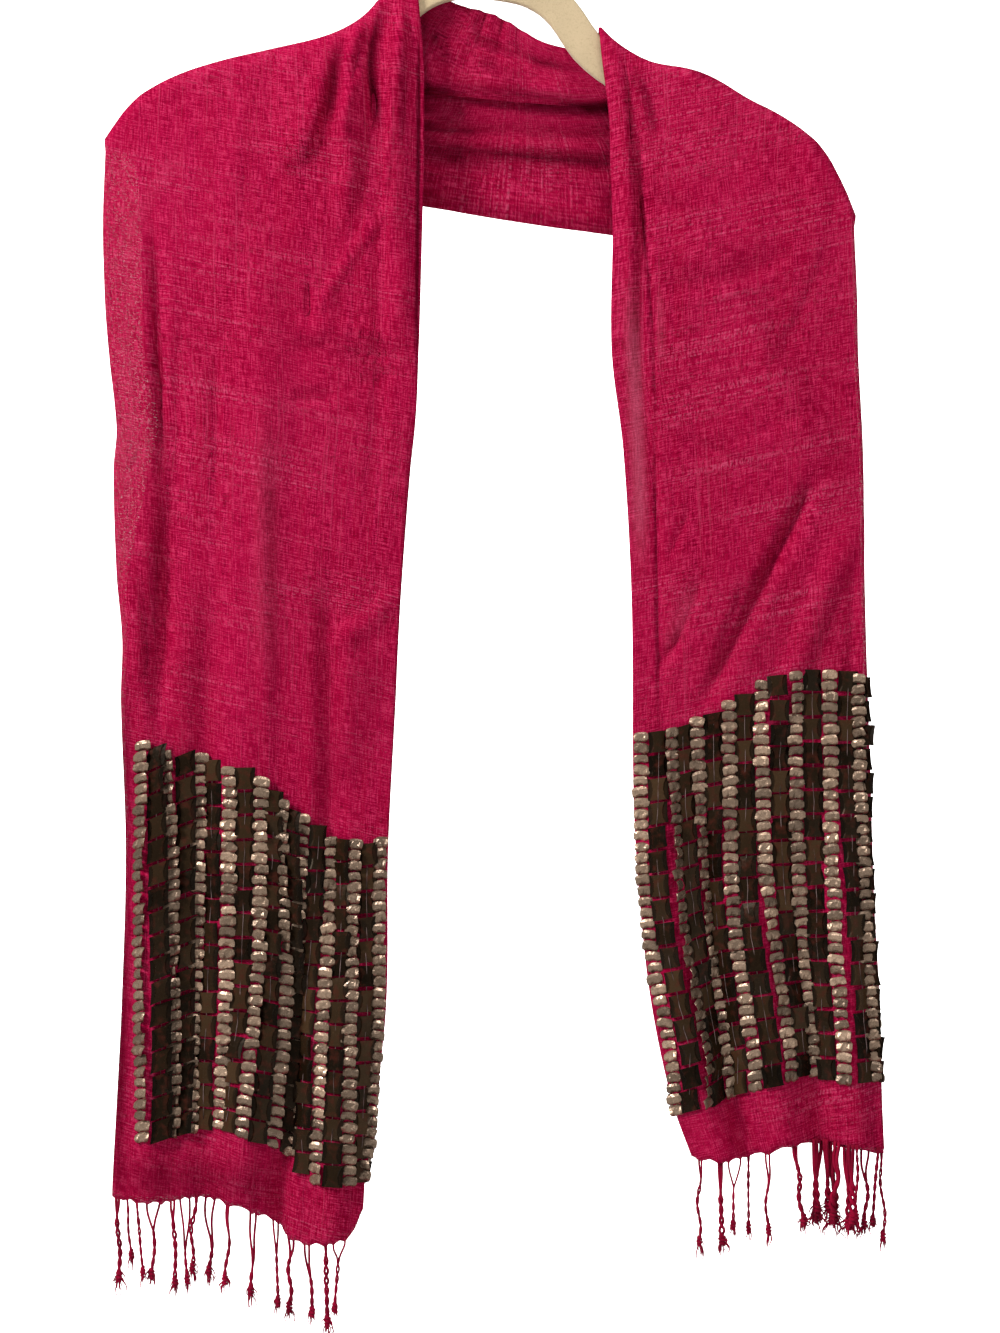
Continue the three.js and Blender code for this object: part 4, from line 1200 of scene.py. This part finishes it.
class SCARF_OT_sequins(bpy.types.Operator):
    """Sews columns of large brown and small champagne sequins on both layers of both ends"""

    bl_idname = "scarf.sequins"
    bl_label = "Sequins"

    def execute(self, context):
        sizes, colours = context.scene.scarf_sizes, context.scene.scarf_colours
        brown, champagne = square_material(colours), flake_material(colours)
        twine = stitch_material()
        rng = np.random.default_rng(11)
        square = plate_template("square", 6, 4, square_shape(sizes.square / MM), SQUARE["wall"])
        flake = plate_template("flake", 5, 4, flake_shape(sizes.flake / MM), FLAKE["wall"])
        square_points, flake_points = points_of(square), points_of(flake)
        half = sizes.square / 2
        beside = np.abs(square_points[:, 0]) / half
        # The flanks, which are given a painted dark reflection.
        flank = ease(0.02, 0.12, beside - table_edge(square_points[:, 1] / half))
        # The lip that turns under, which is given a painted coppery shade.
        lip = flake_points[:, 1] < FLAKE["lip"] * MM
        for name, end in (("left", LEFT), ("right", RIGHT)):
            squares, flakes, square_shade_and_tone, flake_shade_and_tone = [], [], [], []
            stitches = bmesh.new()
            for large, high, middle, bottom, turned, skew in rows_of(end["sequins"], SEQUIN_COLUMNS):
                placed = table("down x", *zip(end["sequin_levels"], (high, middle, bottom)))
                # Painted shade: a column that faces sideways is given a darker colour, as if turned away
                # from the light; a random tone is added per sequin.
                tone = max(LEAST_SHADED_TONE, 1 - PAINTED_SHADE_BY_TURN * abs(turned))
                kind = SQUARE if large else FLAKE
                for layer in (1, -1):
                    turn = turned * layer * end["side"]
                    shift = rng.uniform(-1.5, 1.5)
                    frames = sequin_places(end, placed, layer, kind["pitch"], shift)
                    count = len(frames[0])
                    if large:
                        tilts = rng.normal((0, turn, 0), (0.09, 0.1, 0.03), (count, 3))
                        scales = rng.uniform(0.97, 1.03, count)
                        squares += placed_copies(
                            square_points, frames, kind["lift"], tilts, scales, skew, layer
                        )
                        path = (frames[0] + frames[1] * layer * STITCH_LIFT) * MM
                        add_tube(stitches, wandering(path, rng, STITCH_WANDER), STITCH_RADIUS, 4)
                        square_shade_and_tone.append(tone * rng.random(count) ** 1.9)
                    else:
                        tilts = rng.normal((0.02, turn, 0), (0.2, 0.16, 0.11), (count, 3))
                        aside = rng.normal(0, 0.4, (count, 3)) * (1, 0, 0)
                        frames = (frames[0] + aside, *frames[1:])
                        flake_shade_and_tone.append(tone * rng.random(count))
                        scales = rng.uniform(0.92, 1.06, count)
                        flakes += placed_copies(
                            flake_points, frames, kind["lift"], tilts, scales, skew * 0.5, layer
                        )
            mesh = joined_copies(f"{name}_brown_sequins", square, squares)
            mark_points(mesh, "shade", np.repeat(np.concatenate(square_shade_and_tone), len(square_points)))
            mark_points(mesh, "flank", np.tile(flank, len(squares)))
            add_piece(f"{name}_brown_sequins", mesh, "sequin", brown, replaces=(f"{name}_sequins",))
            mesh.shade_flat()
            mesh = joined_copies(f"{name}_light_sequins", flake, flakes)
            mark_points(mesh, "shade", np.repeat(np.concatenate(flake_shade_and_tone), len(flake_points)))
            mark_points(mesh, "lower", np.tile(lip, len(flakes)))
            add_piece(f"{name}_light_sequins", mesh, "sequin", champagne)
            mesh.shade_flat()
            mesh = make_mesh(stitches, f"{name}_stitches")
            add_piece(f"{name}_stitches", mesh, "thread", twine)
        return {"FINISHED"}


def wandering(path, rng, reach):
    """The path with two points for each of its steps, moved a little to the sides."""
    halfway = (path[1:] + path[:-1]) / 2
    finer = np.concatenate([np.stack([path[:-1], halfway], 1).reshape(-1, 3), path[-1:]])
    return finer + rng.normal(0, reach, finer.shape) * (1, 0.3, 0)


def tube_bmesh(path, radii, sides):
    """A tube round a path of points, in metres, closed at both ends."""
    path = np.asarray(path, float)
    along = unit(np.gradient(path, axis=0))
    guide = np.array([0.3, 1.0, 0.2])
    first = unit(np.cross(along, guide))
    second = np.cross(along, first)
    turns = np.linspace(0, 2 * math.pi, sides + 1)
    radii = np.broadcast_to(radii, len(path))[:, None, None]
    ring = first[:, None] * np.cos(turns)[None, :, None] + second[:, None] * np.sin(turns)[None, :, None]
    bm = grid_bmesh(path[:, None] + ring * radii, wrap=True)
    close_ends(bm)
    return bm


def add_tassel(bm, rng, roots, row, thread):
    """Two threads from the hem, twisted together once they meet, a fuzzy knot, and tails below it."""
    length, heft = row["length"] * MM, row["heft"]
    middle = (roots[0] + roots[1]) / 2
    fall = np.linspace(0, 1, 26)[:, None]
    knot_fall = length * KNOT_AT
    sway = rng.normal(0, 0.0012, 3)
    wave = np.sin(fall * rng.uniform(5, 9) + rng.uniform(0, 6)) * fall * (1.3 - fall) * 2
    centre = middle + fall * np.array([row["shift"] * MM, 0, -knot_fall]) + wave * sway * (1, 0.5, 0)
    meets = row["meets"]
    together = ease(0.6 * meets, meets + 0.05, fall)
    phase = fall * knot_fall / TWIST * 2 * math.pi + rng.uniform(0, 6)
    loose = thread * heft * (0.75 + rng.uniform(0, 0.7) * np.sin(fall * rng.uniform(3, 6)) ** 2)
    for side, root in ((1, roots[0]), (-1, roots[1])):
        twist = np.concatenate([np.cos(phase), np.sin(phase), 0 * phase], 1) * loose * together * side
        path = centre + (root - middle) * (1 - ease(0, meets, fall)) + twist
        path[0, 2] += ROOT_INSIDE
        add_tube(bm, path, thread * (0.55 + 0.6 * heft), 5)
    knot = centre[-1]
    turn = np.linspace(0, 2 * math.pi * 3.2, 24)
    wrap = thread * (0.9 + 1.1 * heft) * np.sin(np.linspace(0.5, 2.7, 24))
    coil = np.stack([np.cos(turn) * wrap, np.sin(turn) * wrap, np.linspace(0.002, -0.0045, 24)], -1)
    add_tube(bm, knot + coil, thread * 1.6, 5)
    for _ in range(round(5 + 8 * heft)):
        spread = np.linspace(0, 1, 7)[:, None]
        angle = rng.uniform(0, 2 * math.pi)
        reach = thread * heft * rng.uniform(1, 5)
        out = np.array([math.cos(angle), math.sin(angle) * 0.5, 0]) * reach
        drop = (length - knot_fall) * rng.uniform(0.3, 1.0)
        start = knot + np.array([0, 0, rng.uniform(-0.003, 0.003)])
        tail = start + out * np.sin(spread * rng.uniform(1.2, 3)) + spread * np.array([0, 0, -drop])
        add_tube(bm, tail, thread * rng.uniform(0.6, 1.15) * np.linspace(1, 0.4, 7), 4)
    for _ in range(round(7 * heft)):
        spread = np.linspace(0, 1, 4)[:, None]
        out = rng.normal(0, 0.003, 3) * (1, 0.6, 1.0)
        start = knot + np.array([0, 0, -rng.uniform(0, 0.006)])
        add_tube(bm, start + out * spread + spread**2 * rng.normal(0, 0.001, 3), HAIR, 3)


def add_tube(bm, path, radius, sides):
    part = make_mesh(tube_bmesh(path, radius, sides), "tube")
    bm.from_mesh(part)
    bpy.data.meshes.remove(part)


class SCARF_OT_fringe(bpy.types.Operator):
    """Hangs the knotted warp threads from both layers of both hems"""

    bl_idname = "scarf.fringe"
    bl_label = "Fringe"

    def execute(self, context):
        sizes = context.scene.scarf_sizes
        threads = thread_material(context.scene.scarf_colours)
        rng = np.random.default_rng(5)
        for name, end in (("left", LEFT), ("right", RIGHT)):
            bm = bmesh.new()
            for values in rows_of(end["tassels"], TASSEL_COLUMNS):
                row = dict(zip(TASSEL_COLUMNS.split(), values))
                x = row["x"] + np.array([-0.5, 0.5]) * row["apart"]
                across = np.full(2, 0.5)
                for _ in range(3):
                    hem = hem_level(end, across, row["layer"], across)
                    inner, outer = edges_at(end, hem)
                    across = np.clip((x - inner) / (outer - inner), 0, 1)
                lift = np.full(2, row["layer"] * LAYER_PITCH / 2)
                fallen = fall_to(end, across, hem)
                roots, _, _ = layer_frame(end_surface(end), across, fallen, lift, -end["side"], 0.5)
                add_tassel(bm, rng, roots * MM, row, sizes.thread)
            mesh = make_mesh(bm, f"{name}_tassels")
            add_piece(f"{name}_tassels", mesh, "thread", threads, replaces=(f"{name}_fringe",))
        return {"FINISHED"}


def rounded_bar(half_thick, half_high, corner, per_corner):
    """The outline of a bar's section, as offsets across and along its height."""
    outline = []
    for k, (sx, sz) in enumerate(((1, 1), (-1, 1), (-1, -1), (1, -1))):
        for j in range(per_corner):
            angle = math.pi / 2 * (k + j / (per_corner - 1))
            x = sx * (half_thick - corner) + corner * math.cos(angle)
            z = sz * (half_high - corner) + corner * math.sin(angle)
            outline.append((x, z))
    return np.array(outline + outline[:1])


class SCARF_OT_hanger(bpy.types.Operator):
    """Makes the flocked hanger and its wire hook"""

    bl_idname = "scarf.hanger"
    bl_label = "Hanger"

    def execute(self, context):
        half = HANGER["height"] / 2
        out = np.sin(np.linspace(-math.pi / 2, math.pi / 2, 121)) * HANGER["half_span"]
        level = -read(ARM_TOP, "out", "down", np.abs(out))
        slope = np.gradient(level, out)
        length = np.sqrt(1 + slope * slope)
        down_x, down_z = slope / length, -1 / length
        closing = np.sqrt(np.clip((HANGER["half_span"] - np.abs(out)) / half, 0.02, 1))
        section = rounded_bar(HANGER["thickness"] / 2, half, HANGER["corner"], 4)
        x = (out + down_x * half)[:, None] - down_x[:, None] * section[:, 1] * closing[:, None]
        z = (level + down_z * half)[:, None] - down_z[:, None] * section[:, 1] * closing[:, None]
        y = np.broadcast_to(section[:, 0], x.shape) * np.clip(closing, 0.6, 1)[:, None]
        x, z = lean_over(x, z)
        bm = grid_bmesh(np.stack([x, y, z], -1) * MM, wrap=True)
        close_ends(bm)
        flock = flock_material(context.scene.scarf_colours)
        arms = make_mesh(bm, "hanger_arms")
        add_piece("hanger_arms", arms, "flock", flock, replaces=("hanger_body",))

        radius = HOOK["inside"] + HOOK["wire"]
        turn = np.radians(np.linspace(HOOK["start"], HOOK["end"], 60))
        neck_z = -ARM_TOP["down"][0]
        stem = np.array([[0, neck_z - 8], [0, neck_z], [0, neck_z + 8], [0.5, -HOOK["stem_top"] - 3]])
        arc = np.stack([radius * np.cos(turn), radius * np.sin(turn) - HOOK["inside"]], -1)
        line = np.concatenate([stem, arc])
        x, z = lean_over(line[:, 0], line[:, 1])
        path = np.stack([x, np.zeros_like(x), z], -1) * MM
        hook = make_mesh(tube_bmesh(path, HOOK["wire"] * MM, 14), "hanger_wire")
        add_piece("hanger_wire", hook, "wire", wire_material(), replaces=("hanger_hook",))
        return {"FINISHED"}


class SCARF_OT_stage(bpy.types.Operator):
    """Sets up the pale floor and backdrop, the soft light and the camera"""

    bl_idname = "scarf.stage"
    bl_label = "Stage"

    def execute(self, context):
        scene = context.scene
        low, _ = CAD_BOX
        middle = Vector((0.0018, 0, -0.4959))
        floor_z = low[2] - 0.62
        bend, radius = 3.0, 0.8
        profile = [(-6, 0), (bend, 0)]
        for angle in np.linspace(0.1, math.pi / 2, 12):
            profile.append((bend + radius * math.sin(angle), radius - radius * math.cos(angle)))
        profile.append((bend + radius, 6))
        points = np.array([[(x, y, floor_z + z) for x in (-8, 8)] for y, z in profile])
        floor = bpy.data.objects.new("floor", make_mesh(grid_bmesh(points), "floor"))
        floor.data.shade_smooth()
        floor.data.materials.append(paper_material())
        scene.collection.objects.link(floor)

        for name, place, size, power in (
            ("key", (-1.5, -1.1, 1.1), 0.5, 42),
            ("fill", (1.5, -1.5, -0.3), 1.4, 3.5),
            ("top", (0.2, -0.5, 1.3), 0.6, 8),
            ("backdrop", (0, bend - 0.4, 0), 3, 125),
        ):
            light = bpy.data.lights.new(name, "AREA")
            light.size = size
            light.energy = power
            lamp = bpy.data.objects.new(name, light)
            lamp.location = middle + Vector(place)
            aim = (middle - lamp.location).to_track_quat("-Z", "Y").to_euler()
            lamp.rotation_euler = (math.pi / 2, 0, 0) if name == "backdrop" else aim
            scene.collection.objects.link(lamp)

        world = bpy.data.worlds.new("studio")
        world.use_nodes = True
        background = world.node_tree.nodes["Background"]
        background.inputs["Color"].default_value = (1, 1, 1, 1)
        background.inputs["Strength"].default_value = 0.3
        scene.world = world
        scene.view_settings.view_transform = "Standard"

        distance, framed = 1.8, 0.8
        lens = bpy.data.cameras.new("camera")
        lens.sensor_fit = "VERTICAL"
        lens.sensor_height = 24
        lens.lens = lens.sensor_height * distance / framed
        camera = bpy.data.objects.new("camera", lens)
        camera.location = middle + Vector((0, -distance - 0.006, 0))
        camera.rotation_euler = (math.pi / 2, 0, 0)
        scene.collection.objects.link(camera)
        scene.camera = camera
        return {"FINISHED"}


class SCARF_PT_panel(bpy.types.Panel):
    """Lists the scarf's pieces, sizes and colours"""

    bl_label = "Scarf"
    bl_idname = "SCARF_PT_panel"
    bl_space_type = "VIEW_3D"
    bl_region_type = "UI"
    bl_category = "Scarf"

    def draw(self, context):
        for step in STEPS:
            self.layout.operator(step.bl_idname)
        for group in (context.scene.scarf_sizes, context.scene.scarf_colours):
            box = self.layout.box()
            for name in group.__annotations__:
                box.prop(group, name)


STEPS = (SCARF_OT_stage, SCARF_OT_cloth, SCARF_OT_sequins, SCARF_OT_fringe, SCARF_OT_hanger)
CLASSES = (ScarfSizes, ScarfColours, *STEPS, SCARF_PT_panel)


def register():
    for item in CLASSES:
        bpy.utils.register_class(item)
    bpy.types.Scene.scarf_sizes = PointerProperty(type=ScarfSizes)
    bpy.types.Scene.scarf_colours = PointerProperty(type=ScarfColours)


def unregister():
    del bpy.types.Scene.scarf_colours
    del bpy.types.Scene.scarf_sizes
    for item in reversed(CLASSES):
        bpy.utils.unregister_class(item)


def main():
    register()
    bpy.ops.scarf.stage()
    bpy.ops.scarf.cloth()
    bpy.ops.scarf.sequins()
    bpy.ops.scarf.fringe()
    bpy.ops.scarf.hanger()


if __name__ == "__main__":
    main()
